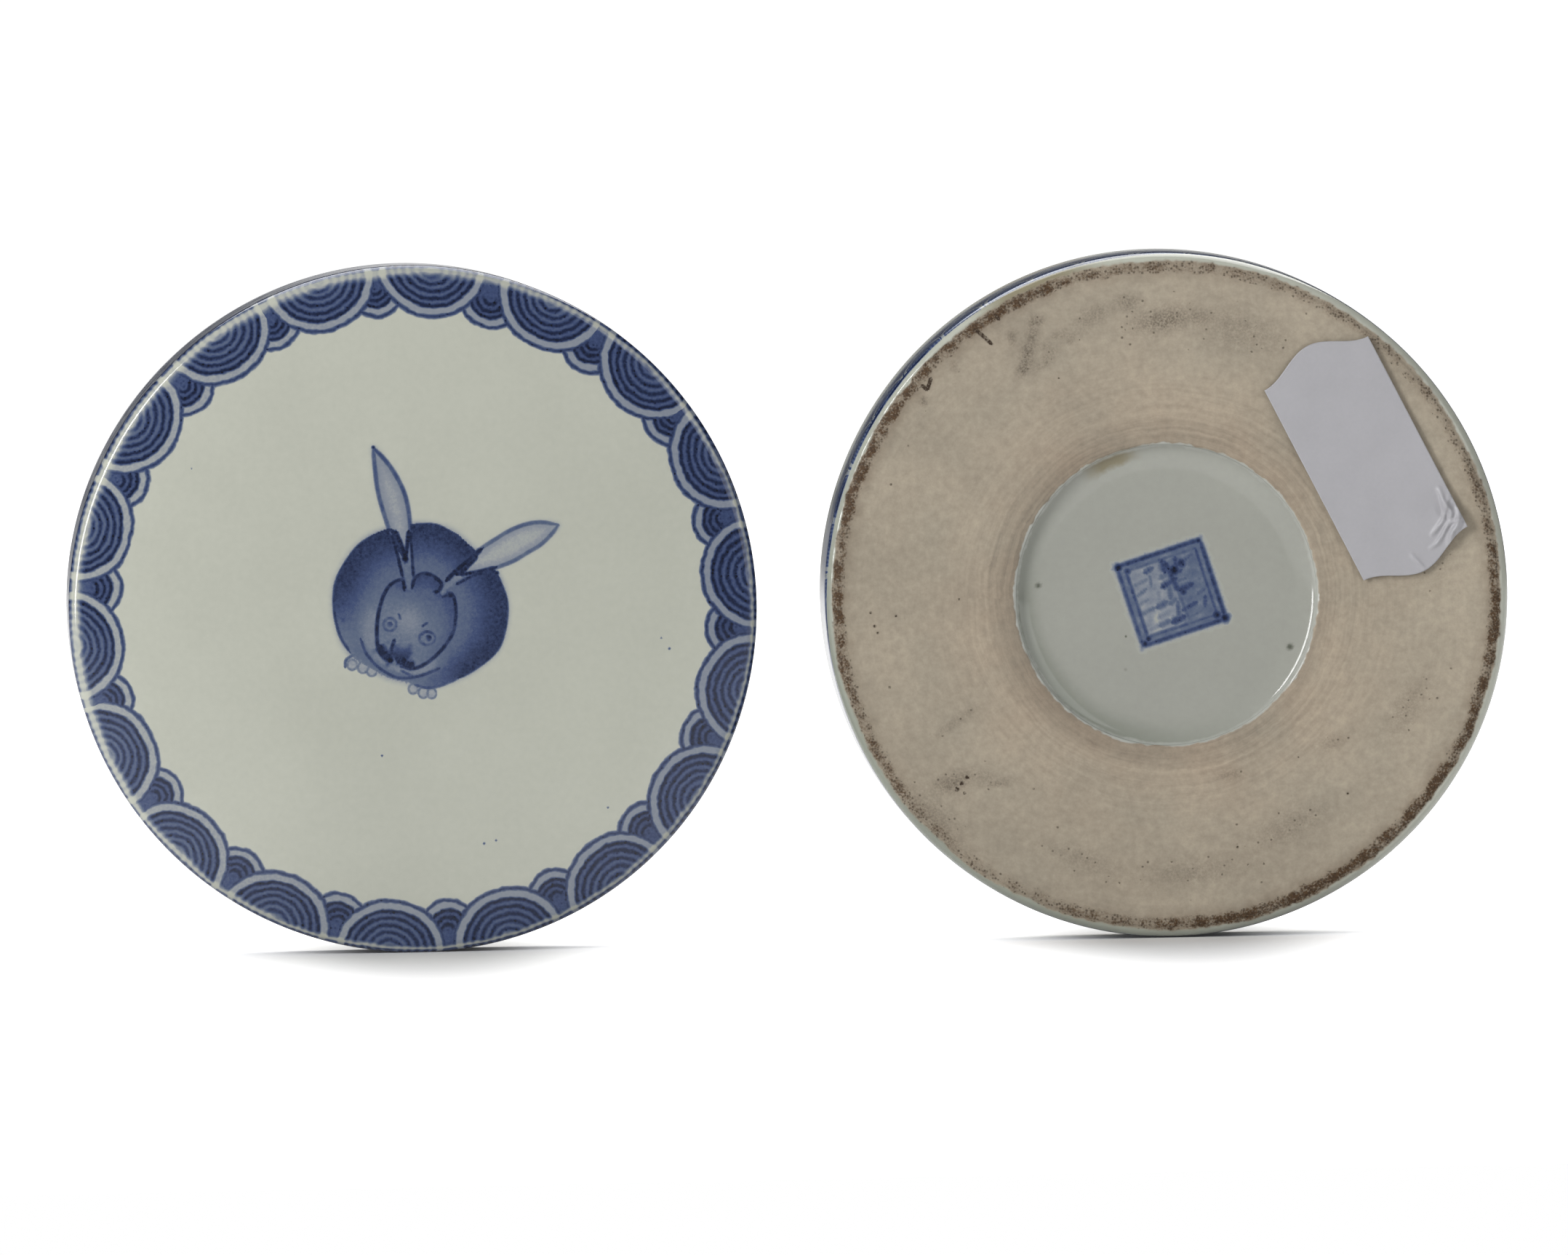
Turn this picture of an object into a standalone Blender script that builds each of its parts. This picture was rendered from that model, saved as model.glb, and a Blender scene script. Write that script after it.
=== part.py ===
"""Round porcelain box with its lid taken off, built as separate turned pieces.

Lid and base stand on their edges side by side. The lid shows its painted top and the base
its foot, both facing -Y, and both hollows open towards +Y. The lid turns about an upright
axis midway between the two pieces: after half a turn it is closed on the base.
"""

import math

import bmesh
import bpy
from mathutils import Matrix, Vector

# Outer form, metres
OUTER_RADIUS = 0.0352
LID_HEIGHT = 0.0130
BASE_HEIGHT = 0.0145
STAND_GAP = 0.0068

# Lid
LID_TOP_THICKNESS = 0.0032
LID_WALL = 0.0029
LID_EDGE_RADIUS = 0.0012
LID_TOP_FALL = 0.0003
LID_FLAT_RADIUS = 0.0290
LID_INNER_FILLET = 0.0030

# Base
BASE_FLOOR_THICKNESS = 0.0030
FOOT_EDGE_RADIUS = 0.0009
FOOT_BEVEL_WIDTH = 0.0003
FOOT_BEVEL_HEIGHT = 0.0002
RECESS_RADIUS = 0.0154
RECESS_DEPTH = 0.0012
RECESS_FILLET = 0.0008
BASE_INNER_FILLET = 0.0040

# Flange that centres the lid
FLANGE_HEIGHT = 0.0030
FLANGE_THICKNESS = 0.0018
FLANGE_TAPER = 0.0003
LID_CLEARANCE = 0.0004
SEAT_GAP = 0.0003
RIM_CHAMFER = 0.0003

# Paper label stuck on the foot
LABEL_WIDTH = 0.0120
LABEL_SIDE_LENGTH = 0.0220
LABEL_END_BULGE = 0.0020
LABEL_THICKNESS = 0.0002
LABEL_GAP = 0.0003
LABEL_OUT = 0.0207
LABEL_UP = 0.0136
LABEL_TURN = math.radians(-63.5)

# Fineness of the round shapes
SEGMENTS = 72
ARC_STEPS = 4
END_STEPS = 14
SHARP_ANGLE = math.radians(35)

# Places worked out from the sizes
FRONT_OF_FOOT = BASE_HEIGHT + LABEL_GAP + LABEL_THICKNESS
PARTING_Y = (max(FRONT_OF_FOOT, LID_HEIGHT) - FLANGE_HEIGHT) / 2
HALF_FACET = math.pi / SEGMENTS
STANDING_HEIGHT = OUTER_RADIUS * math.cos(HALF_FACET)
CENTRE_X = OUTER_RADIUS + STAND_GAP / 2
AXIS_Y = PARTING_Y + SEAT_GAP / 2
LID_BORE = OUTER_RADIUS - LID_WALL
FLANGE_RADIUS = LID_BORE - LID_CLEARANCE
BASE_BORE = FLANGE_RADIUS - FLANGE_THICKNESS


def clear_scene():
    for thing in list(bpy.data.objects):
        bpy.data.objects.remove(thing, do_unlink=True)


def make_material(name, colour, roughness):
    material = bpy.data.materials.new(name)
    material.use_nodes = True
    shader = material.node_tree.nodes["Principled BSDF"]
    shader.inputs["Base Color"].default_value = (*colour, 1.0)
    shader.inputs["Roughness"].default_value = roughness
    shader.inputs["Metallic"].default_value = 0.0
    return material


def arc(centre_r, centre_h, radius, start, end):
    """Points (r, h) on a round corner, from one angle in degrees to the other."""
    points = []
    for step in range(ARC_STEPS + 1):
        angle = math.radians(start + (end - start) * step / ARC_STEPS)
        points.append((centre_r + radius * math.cos(angle), centre_h + radius * math.sin(angle)))
    return points


def lid_profile():
    """Half section of the lid, from the middle of its top to the middle of its ceiling."""
    shoulder = LID_HEIGHT - LID_TOP_FALL
    ceiling = LID_HEIGHT - LID_TOP_THICKNESS
    points = [(0.0, LID_HEIGHT), (LID_FLAT_RADIUS, LID_HEIGHT)]
    points += arc(OUTER_RADIUS - LID_EDGE_RADIUS, shoulder - LID_EDGE_RADIUS, LID_EDGE_RADIUS, 90, 0)
    points += [
        (OUTER_RADIUS, RIM_CHAMFER),
        (OUTER_RADIUS - RIM_CHAMFER, 0.0),
        (LID_BORE + RIM_CHAMFER, 0.0),
        (LID_BORE, RIM_CHAMFER),
    ]
    points += arc(LID_BORE - LID_INNER_FILLET, ceiling - LID_INNER_FILLET, LID_INNER_FILLET, 0, 90)
    points.append((0.0, ceiling))
    return points


def base_profile():
    """Half section of the base, from the middle of its foot to the middle of its floor.

    Heights grow from the seat towards the foot, and the flange lies below the seat.
    """
    recess = BASE_HEIGHT - RECESS_DEPTH
    floor = BASE_HEIGHT - RECESS_DEPTH - BASE_FLOOR_THICKNESS
    shoulder = BASE_HEIGHT - FOOT_BEVEL_HEIGHT
    edge_centre = OUTER_RADIUS - FOOT_EDGE_RADIUS
    points = [(0.0, recess)]
    points += arc(RECESS_RADIUS - RECESS_FILLET, recess + RECESS_FILLET, RECESS_FILLET, -90, 0)
    points += [(RECESS_RADIUS, BASE_HEIGHT), (edge_centre - FOOT_BEVEL_WIDTH, BASE_HEIGHT)]
    points += arc(edge_centre, shoulder - FOOT_EDGE_RADIUS, FOOT_EDGE_RADIUS, 90, 0)
    points += [
        (OUTER_RADIUS, RIM_CHAMFER),
        (OUTER_RADIUS - RIM_CHAMFER, 0.0),
        (FLANGE_RADIUS, 0.0),
        (FLANGE_RADIUS - FLANGE_TAPER, -FLANGE_HEIGHT + RIM_CHAMFER),
        (FLANGE_RADIUS - FLANGE_TAPER - RIM_CHAMFER, -FLANGE_HEIGHT),
        (BASE_BORE + RIM_CHAMFER, -FLANGE_HEIGHT),
        (BASE_BORE, -FLANGE_HEIGHT + RIM_CHAMFER),
    ]
    points += arc(BASE_BORE - BASE_INNER_FILLET, floor - BASE_INNER_FILLET, BASE_INNER_FILLET, 0, 90)
    points.append((0.0, floor))
    return points


def turned(name, profile, material):
    """Spins a half section about its own Z axis into one closed solid."""
    build = bmesh.new()
    verts = [build.verts.new((r, 0.0, h)) for r, h in profile]
    edges = [build.edges.new(pair) for pair in zip(verts, verts[1:])]
    bmesh.ops.spin(
        build,
        geom=verts + edges,
        cent=(0.0, 0.0, 0.0),
        axis=(0.0, 0.0, 1.0),
        angle=2 * math.pi,
        steps=SEGMENTS,
        use_merge=True,
    )
    bmesh.ops.remove_doubles(build, verts=build.verts, dist=1e-6)
    bmesh.ops.recalc_face_normals(build, faces=build.faces)
    return finish_mesh(name, build, material)


def label_outline():
    """Corners of the label, long sides along X, with a rounded bulge at each end."""
    points = []
    for side in (1, -1):
        for step in range(END_STEPS + 1):
            share = step / END_STEPS
            bulge = LABEL_END_BULGE * math.sin(math.pi * share) ** 2
            along = side * (LABEL_SIDE_LENGTH / 2 + bulge)
            across = side * LABEL_WIDTH * (share - 0.5)
            points.append((along, across))
    return points


def label(name, material):
    """A thin sheet cut to the label's outline, with its back on its own XY plane."""
    build = bmesh.new()
    verts = [build.verts.new((along, across, 0.0)) for along, across in label_outline()]
    face = build.faces.new(verts)
    raised = bmesh.ops.extrude_face_region(build, geom=[face])["geom"]
    lift = [part for part in raised if isinstance(part, bmesh.types.BMVert)]
    bmesh.ops.translate(build, verts=lift, vec=(0.0, 0.0, LABEL_THICKNESS))
    bmesh.ops.recalc_face_normals(build, faces=build.faces)
    return finish_mesh(name, build, material)


def finish_mesh(name, build, material):
    mesh = bpy.data.meshes.new(name)
    build.to_mesh(mesh)
    build.free()
    mesh.shade_smooth()
    mesh.set_sharp_from_angle(angle=SHARP_ANGLE)
    mesh.materials.append(material)
    piece = bpy.data.objects.new(name, mesh)
    bpy.context.scene.collection.objects.link(piece)
    return piece


def facing_front(centre, turn):
    """Places a piece so that its own +Z looks along -Y, turned about its own axis."""
    upright = Matrix.Rotation(math.radians(90), 4, "X")
    return Matrix.Translation(centre) @ upright @ Matrix.Rotation(turn, 4, "Z")


def make_axis(name, place):
    """An empty on the upright axis that the lid turns about."""
    axis = bpy.data.objects.new(name, None)
    axis.empty_display_type = "SINGLE_ARROW"
    axis.empty_display_size = OUTER_RADIUS
    axis.location = place
    bpy.context.scene.collection.objects.link(axis)
    return axis


def main():
    clear_scene()
    glaze = make_material("blue_and_white_glaze", (0.52, 0.54, 0.50), 0.12)
    biscuit = make_material("glazed_body_bare_foot", (0.40, 0.36, 0.29), 0.55)
    paper = make_material("label_paper", (0.62, 0.61, 0.63), 0.60)

    base_centre = Vector((CENTRE_X, PARTING_Y, STANDING_HEIGHT))
    base = turned("base", base_profile(), biscuit)
    base.matrix_world = facing_front(base_centre, HALF_FACET)

    axis = make_axis("lid_axis", (0.0, AXIS_Y, 0.0))
    lid = turned("lid", lid_profile(), glaze)
    lid.parent = axis
    lid_centre = Vector((-CENTRE_X, PARTING_Y - AXIS_Y, STANDING_HEIGHT))
    lid.matrix_local = facing_front(lid_centre, HALF_FACET)

    sticker = label("paper_label", paper)
    sticker_place = base_centre + Vector((LABEL_OUT, -BASE_HEIGHT - LABEL_GAP, LABEL_UP))
    sticker.matrix_world = facing_front(sticker_place, LABEL_TURN)


main()
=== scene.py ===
"""Round blue-and-white porcelain box: lid and base on edge side by side, and a paper label on the foot."""

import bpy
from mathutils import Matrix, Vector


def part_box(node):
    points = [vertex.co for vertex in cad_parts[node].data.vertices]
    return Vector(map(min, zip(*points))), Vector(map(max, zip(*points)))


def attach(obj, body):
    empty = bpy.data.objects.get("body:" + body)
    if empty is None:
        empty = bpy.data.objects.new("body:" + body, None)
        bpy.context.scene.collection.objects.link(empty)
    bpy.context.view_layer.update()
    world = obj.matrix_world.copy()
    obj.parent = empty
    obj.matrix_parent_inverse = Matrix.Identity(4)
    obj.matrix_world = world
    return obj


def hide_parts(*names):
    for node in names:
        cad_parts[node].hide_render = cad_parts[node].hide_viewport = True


bl_info = {
    "name": "Blue-and-white porcelain box",
    "version": (1, 0, 0),
    "blender": (4, 5, 0),
    "location": "3D View > Sidebar > Porcelain box",
    "description": "Builds the painted lid, the base with its bare foot, the paper label and a small studio",
    "category": "Object",
}

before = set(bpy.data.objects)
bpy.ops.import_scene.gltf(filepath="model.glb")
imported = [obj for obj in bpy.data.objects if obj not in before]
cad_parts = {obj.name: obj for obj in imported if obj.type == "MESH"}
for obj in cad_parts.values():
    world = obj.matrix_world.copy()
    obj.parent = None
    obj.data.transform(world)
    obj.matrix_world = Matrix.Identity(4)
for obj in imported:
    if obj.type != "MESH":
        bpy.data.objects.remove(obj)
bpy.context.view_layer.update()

import math
from functools import partial

import bmesh
import bpy
import numpy as np
from mathutils import Matrix, Vector
from mathutils.geometry import delaunay_2d_cdt

MM = 0.001
# Faces round a disc
SEGMENTS = 384
# Material zones of a disc
OUTSIDE, RIM, HOLLOW = range(3)

# Sizes that follow the frame
LID_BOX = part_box("lid")
BASE_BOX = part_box("base")
OUTER_RADIUS = (LID_BOX[1][0] - LID_BOX[0][0]) / 2
PARTING_Y = LID_BOX[1][1]
LID_HEIGHT = PARTING_Y - LID_BOX[0][1]
BASE_HEIGHT = PARTING_Y - BASE_BOX[0][1]
LID_CENTRE = Vector(((LID_BOX[0][0] + LID_BOX[1][0]) / 2, PARTING_Y, (LID_BOX[0][2] + LID_BOX[1][2]) / 2))
BASE_CENTRE = Vector(((BASE_BOX[0][0] + BASE_BOX[1][0]) / 2, PARTING_Y, (BASE_BOX[0][2] + BASE_BOX[1][2]) / 2))


def linear(hex_colour):
    """Linear red, green, blue and alpha of an sRGB hex colour."""
    channels = [int(hex_colour[i:i + 2], 16) / 255 for i in (1, 3, 5)]
    return tuple(c / 12.92 if c <= 0.04045 else ((c + 0.055) / 1.055) ** 2.4 for c in channels) + (1.0,)


# Sizes and colours that a user may change

def length(name, description, default):
    """A length property, in metres."""
    return bpy.props.FloatProperty(name=name, description=description, default=default, min=0.0, unit="LENGTH",
                                   precision=5)


def colour(name, description, hex_colour):
    """A colour property that starts from an sRGB hex value."""
    return bpy.props.FloatVectorProperty(name=name, description=description, default=linear(hex_colour), size=4,
                                         min=0.0, max=1.0, subtype="COLOR")


class LidSizes(bpy.types.PropertyGroup):
    """Sizes of the turned lid."""

    radius: length("Radius", "Outer radius of the lid", OUTER_RADIUS)
    height: length("Height", "From the parting line to the top", LID_HEIGHT)
    wall: length("Wall", "Thickness of the side wall", 2.9 * MM)
    top: length("Top", "Thickness of the top", 3.2 * MM)
    edge: length("Edge", "Radius of the rolled edge", 1.2 * MM)
    wave: length("Wave", "Depth of a large border wave", 5.2 * MM)


class BaseSizes(bpy.types.PropertyGroup):
    """Sizes of the turned base."""

    radius: length("Radius", "Outer radius of the base", OUTER_RADIUS)
    height: length("Height", "From the parting line to the foot", BASE_HEIGHT)
    recess: length("Recess", "Radius of the glazed recess in the foot", 15.4 * MM)
    recess_depth: length("Recess depth", "Depth of the glazed recess", 1.2 * MM)
    flange: length("Flange", "Height of the flange that the lid closes over", 3.0 * MM)
    seal: length("Seal", "Side of the square seal in the recess", 9.2 * MM)


class LabelSizes(bpy.types.PropertyGroup):
    """Sizes of the paper label."""

    width: length("Width", "Width of the label", 12.0 * MM)
    side: length("Side", "Length of the straight sides", 22.0 * MM)
    bulge: length("Bulge", "How far each wavy end stands out", 2.0 * MM)
    lift: length("Lift", "How far the loose corner stands off the foot", 0.55 * MM)


class Finishes(bpy.types.PropertyGroup):
    """Colours of the glaze, the painting, the bare clay and the paper."""

    glaze: colour("Glaze", "Clear glaze over white porcelain", "#B9BBAF")
    foot_glaze: colour("Foot glaze", "Greyer glaze in the recess of the foot", "#A0A199")
    pale_cobalt: colour("Pale cobalt", "Thinnest blue wash", "#8A9099")
    thin_cobalt: colour("Thin cobalt", "Thin blue-grey wash", "#5E6A80")
    wash_cobalt: colour("Cobalt wash", "Ordinary blue wash", "#3D4B70")
    deep_cobalt: colour("Deep cobalt", "Brush line", "#1A2543")
    pooled_cobalt: colour("Pooled cobalt", "Dark spots where the blue pooled", "#0C1222")
    bare_clay: colour("Bare clay", "Unglazed porcelain of the foot", "#A39A89")
    soil: colour("Soil", "Dirt rubbed into the bare clay", "#2E1D09")
    paper: colour("Paper", "Label paper", "#ABAAAE")


class PorcelainBox(bpy.types.PropertyGroup):
    """All settings of the box."""

    lid: bpy.props.PointerProperty(type=LidSizes)
    base: bpy.props.PointerProperty(type=BaseSizes)
    label: bpy.props.PointerProperty(type=LabelSizes)
    finishes: bpy.props.PointerProperty(type=Finishes)


# Turned meshes

def arc(radius_centre, height_centre, radius, start, end, steps):
    """Profile points (r, h) on an arc, angles in degrees from the radial direction."""
    turns = [math.radians(start + (end - start) * i / steps) for i in range(steps + 1)]
    return [(radius_centre + radius * math.cos(t), height_centre + radius * math.sin(t)) for t in turns]


def even(start, end, steps):
    """Profile points from start to end, both included."""
    return [tuple(np.add(start, np.subtract(end, start) * i / steps)) for i in range(steps + 1)]


def rim_corner(radius, chamfer):
    """Profile points round the outer corner of a bare rim."""
    return [(radius, chamfer), (radius - 0.1 * MM, 0.08 * MM), (radius - chamfer, 0.0)]


def hollow(bore, start, ceiling, fillet, steps):
    """Profile points of a hollow, from its wall to the middle of its ceiling."""
    points = even((bore, start), (bore, ceiling - fillet), steps)
    points += arc(bore - fillet, ceiling - fillet, fillet, 0, 90, 8)[1:]
    return points + even(points[-1], (0.0, ceiling), 10)[1:]


def turn_profile(bm, points, zone):
    """Turns profile points about the axis, and gives the faces a material zone."""
    angles = np.arange(SEGMENTS) * math.tau / SEGMENTS
    rows = []
    for r, h in points:
        if r < 1e-7:
            rows.append([bm.verts.new((0.0, 0.0, h))] * SEGMENTS)
        else:
            rows.append([bm.verts.new((r * math.cos(a), r * math.sin(a), h)) for a in angles])
    for one, two in zip(rows, rows[1:]):
        for i in range(SEGMENTS):
            j = (i + 1) % SEGMENTS
            corners = list(dict.fromkeys((one[i], one[j], two[j], two[i])))
            bm.faces.new(corners).material_index = zone


def brushed_face(bm, inner, outer, height, fine_points, zone):
    """Fills a flat ring or disc with triangles that are small where the brush went.

    Lengths in metres, points in mm.
    """
    angles = np.arange(SEGMENTS) * math.tau / SEGMENTS
    circle = np.column_stack((np.cos(angles), np.sin(angles)))
    radii, margin = np.hypot(*fine_points.T) * MM, 0.4 * MM
    kept = fine_points[(radii < outer - margin) & (radii > inner + (margin if inner else -1.0))] * MM
    rims = [circle * outer] + ([circle * inner] if inner else [])
    flat = [Vector(p) for p in np.concatenate(rims + [kept]).tolist()]
    spots, _, triangles, *_ = delaunay_2d_cdt(flat, [], [], 0, 1e-8, False)
    verts = [bm.verts.new((p.x, p.y, height)) for p in spots]
    for corners in triangles:
        middle = sum((spots[i] for i in corners), Vector((0.0, 0.0))) / 3
        if middle.length > inner:
            bm.faces.new([verts[i] for i in corners]).material_index = zone


def hexagonal(spacing, reach):
    """Points in mm on a triangular grid that covers a square of half-side reach."""
    rows = np.arange(-reach, reach, spacing * math.sqrt(3) / 2)
    columns = np.arange(-reach, reach, spacing)
    x, y = np.meshgrid(columns, rows)
    x = x + (np.arange(len(rows)) % 2)[:, None] * spacing / 2
    return np.column_stack((x.ravel(), y.ravel()))


def points_near(lines, reach, close, middle, coarse):
    """Points in mm: a close grid along the lines, a middle one round them and a coarse one elsewhere."""
    found = []
    for spacing, start, end in ((close, 0.0, 0.42), (middle, 0.42, 2.2), (coarse, 2.2, math.inf)):
        grid = hexagonal(spacing, reach)
        away = np.full(len(grid), 1e3)
        for line in lines:
            beside = ((grid > line.min(0) - 2.3) & (grid < line.max(0) + 2.3)).all(1)
            away[beside] = np.minimum(away[beside], distance_to(grid[beside], line)[0])
        found.append(grid[(away >= start + (0.5 * spacing if start else 0.0)) & (away < end)])
    return np.concatenate(found)


def link_object(name, data):
    """A new object in the scene."""
    thing = bpy.data.objects.new(name, data)
    bpy.context.scene.collection.objects.link(thing)
    return thing


def link_mesh(bm, name):
    """A new smooth object in the scene from the faces built so far."""
    mesh = bpy.data.meshes.new(name)
    bm.to_mesh(mesh)
    bm.free()
    mesh.shade_smooth()
    return link_object(name, mesh)


def facing_front(centre):
    """Places a disc with its local Z, the disc's axis, towards the front."""
    return Matrix.Translation(centre) @ Matrix.Rotation(math.pi / 2, 4, "X")


def finish_disc(bm, name, centre, unevenness):
    """Joins the turned and brushed faces, and returns the object and its even places in mm."""
    bmesh.ops.remove_doubles(bm, verts=bm.verts[:], dist=1e-7)
    bmesh.ops.recalc_face_normals(bm, faces=bm.faces[:])
    piece = link_mesh(bm, name)
    piece.matrix_world = facing_front(centre)
    mesh = piece.data
    places = read_places(mesh)
    mesh.vertices.foreach_set("co", (places + unevenness(places)).ravel() * MM)
    return piece, places


def read_places(mesh):
    """Vertex places of a mesh in mm."""
    flat = np.empty(len(mesh.vertices) * 3)
    mesh.vertices.foreach_get("co", flat)
    return flat.reshape(-1, 3) / MM


def set_amount(mesh, name, amount):
    """Stores one number a vertex for the material."""
    mesh.attributes.new(name, "FLOAT", "POINT").data.foreach_set("value", amount.astype(np.float32))


def hand_turned(phases, oval):
    """A function for the slight unevenness of hand-turned and fired clay, in mm, at places in mm.

    The open side is warped into an oval by the given amount.
    """
    def unevenness(places):
        x, y, h = places.T
        r = np.hypot(x, y)
        angle = np.arctan2(y, x)
        waves = ((2, 0.05), (3, 0.035), (5, 0.02))
        out = sum(size * (np.cos(k * angle + p) - math.cos(-k * math.pi / 2 + p))
                  for (k, size), p in zip(waves, phases))
        out = out + oval * np.cos(2 * angle + math.pi / 2) * np.clip(1 - h / (LID_HEIGHT / MM), 0.0, 1.0)
        out = out * (r / (OUTER_RADIUS / MM)) ** 2
        rise = 0.02 * np.sin(0.23 * x + phases[0]) * np.sin(0.19 * y + phases[1])
        return np.column_stack((out * np.cos(angle), out * np.sin(angle), rise))
    return unevenness


# Brushwork, in mm on the disc as seen from the front: x to the right, y up

def smooth_line(points, closed=False, steps=6):
    """A rounded line through the points."""
    p = np.array(points, float)
    p = np.vstack((p[-1], p, p[0], p[1])) if closed else np.vstack((2 * p[0] - p[1], p, 2 * p[-1] - p[-2]))
    line = []
    for a, b, c, d in zip(p, p[1:], p[2:], p[3:]):
        for t in np.arange(steps) / steps:
            place = 2 * b + (c - a) * t + (2 * a - 5 * b + 4 * c - d) * t * t
            line.append(0.5 * (place + (3 * b - a - 3 * c + d) * t ** 3))
    line.append(p[-2])
    return np.array(line)


def distance_to(spots, line):
    """Distance of each spot from the line, and the share of the line's length at the nearest place."""
    best = np.full(len(spots), 1e3)
    share = np.zeros(len(spots))
    count = len(line) - 1
    for i, (a, b) in enumerate(zip(line, line[1:])):
        edge = b - a
        t = np.clip(((spots - a) @ edge) / max(edge @ edge, 1e-12), 0.0, 1.0)
        away = np.hypot(*(spots - a - t[:, None] * edge).T)
        closer = away < best
        best[closer] = away[closer]
        share[closer] = (i + t[closer]) / count
    return best, share


def inside(spots, outline):
    """True for each spot inside the closed outline."""
    result = np.zeros(len(spots), bool)
    x, y = spots.T
    for (ax, ay), (bx, by) in zip(outline, np.roll(outline, -1, 0)):
        if ay != by:
            result ^= ((ay > y) != (by > y)) & (x < (bx - ax) * (y - ay) / (by - ay) + ax)
    return result


def step(low, high, value):
    """Smooth change from 0 at low to 1 at high."""
    t = np.clip((value - low) / (high - low), 0.0, 1.0)
    return t * t * (3 - 2 * t)


def draw_line(cobalt, spots, line, width, strength, seed, core=0.28):
    """Lays one brush line of uneven strength over the cobalt so far."""
    beside = ((spots > line.min(0) - 1.2) & (spots < line.max(0) + 1.2)).all(1)
    away, share = distance_to(spots[beside], line)
    draw = np.random.default_rng(seed)
    load = np.interp(share, np.linspace(0, 1, 24), draw.uniform(0.80, 1.04, 24))
    taper = 0.55 + 0.45 * np.minimum(step(0.0, 0.06, share), step(0.0, 0.06, 1 - share))
    stroke = strength * load * (1 - step(core, 1.0, away / (width * taper)))
    cobalt[beside] = np.maximum(cobalt[beside], stroke)


def draw_dot(cobalt, spots, x, y, radius, strength, core=0.35):
    """Adds one soft spot."""
    away = np.hypot(spots[:, 0] - x, spots[:, 1] - y)
    cobalt[:] = np.maximum(cobalt, strength * (1 - step(core, 1.15, away / radius)))


def dashes(dots):
    """A tiny line at each dot, for a fine mesh there."""
    return [np.array(((x, y), (x + 0.05, y))) for x, y, *_ in dots]


def ring(x, y, across, high, turns=14):
    """A small closed oval."""
    angles = np.linspace(0, math.tau, turns, endpoint=False)
    return [(x + across * math.cos(a), y + high * math.sin(a)) for a in angles]


RABBIT_BODY = [
    (-2.9, 8.0), (0.6, 8.5), (3.7, 7.8), (5.9, 6.0), (8.3, 3.5), (9.3, 0.6), (9.2, -2.0), (8.3, -4.5),
    (6.2, -6.3), (4.2, -7.4), (1.1, -8.3), (-0.7, -7.8), (-2.9, -7.2), (-4.7, -6.2), (-6.6, -4.9), (-7.7, -2.9),
    (-8.3, -0.1), (-8.1, 2.6), (-6.9, 5.0), (-5.3, 6.8),
]
RABBIT_HEAD = [
    (-1.1, 2.6), (-2.4, 2.4), (-3.1, 1.5), (-3.6, 0.2), (-3.9, -1.2), (-4.0, -2.7), (-3.9, -4.1), (-3.2, -5.3),
    (-1.6, -6.2), (-0.3, -6.3), (0.8, -5.9), (1.8, -5.2), (2.9, -4.1), (3.8, -2.7), (4.1, -1.2), (4.1, 0.2),
    (3.6, 1.2), (2.7, 2.3), (1.9, 3.1), (0.9, 3.4), (0.0, 2.9),
]
LEFT_EAR = [
    (-4.0, 16.4), (-2.6, 14.8), (-1.6, 13.2), (-0.9, 11.6), (-0.55, 10.0), (-0.4, 8.4), (-0.27, 6.5),
    (-0.18, 4.5), (-0.1, 3.0), (-0.2, 2.0), (-0.9, 1.8), (-1.2, 3.0), (-1.7, 5.2), (-2.4, 7.5), (-3.05, 9.7),
    (-3.6, 11.9), (-3.85, 14.2),
]
RIGHT_EAR = [
    (14.8, 8.1), (13.0, 8.4), (11.4, 8.2), (9.8, 7.6), (8.4, 6.8), (7.1, 6.0), (6.0, 5.25), (5.1, 4.5),
    (4.1, 3.5), (3.1, 2.5), (2.5, 1.8), (2.8, 1.1), (3.5, 1.7), (4.4, 2.45), (5.2, 2.9), (6.3, 3.35),
    (7.6, 3.65), (8.6, 3.95), (10.2, 4.55), (11.6, 5.35), (12.9, 6.1), (14.0, 7.1),
]
# Dark folds at the roots of the ears
LEFT_FOLD = [(-2.55, 8.1), (-1.85, 7.7), (-1.35, 6.4), (-0.9, 5.2), (-0.95, 4.6), (-1.5, 5.5), (-2.0, 6.8)]
RIGHT_FOLD = [(7.1, 6.0), (6.5, 5.1), (5.6, 4.1), (4.7, 3.2), (4.2, 3.3), (5.0, 4.3), (6.0, 5.2)]

RABBIT_PAWS = [ring(-6.6, -5.8, 0.48, 0.52), ring(-5.5, -6.1, 0.52, 0.56), ring(-4.6, -6.5, 0.48, 0.50),
               ring(-0.4, -8.4, 0.46, 0.50), ring(0.65, -8.8, 0.50, 0.54), ring(1.5, -8.9, 0.46, 0.50)]

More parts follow.
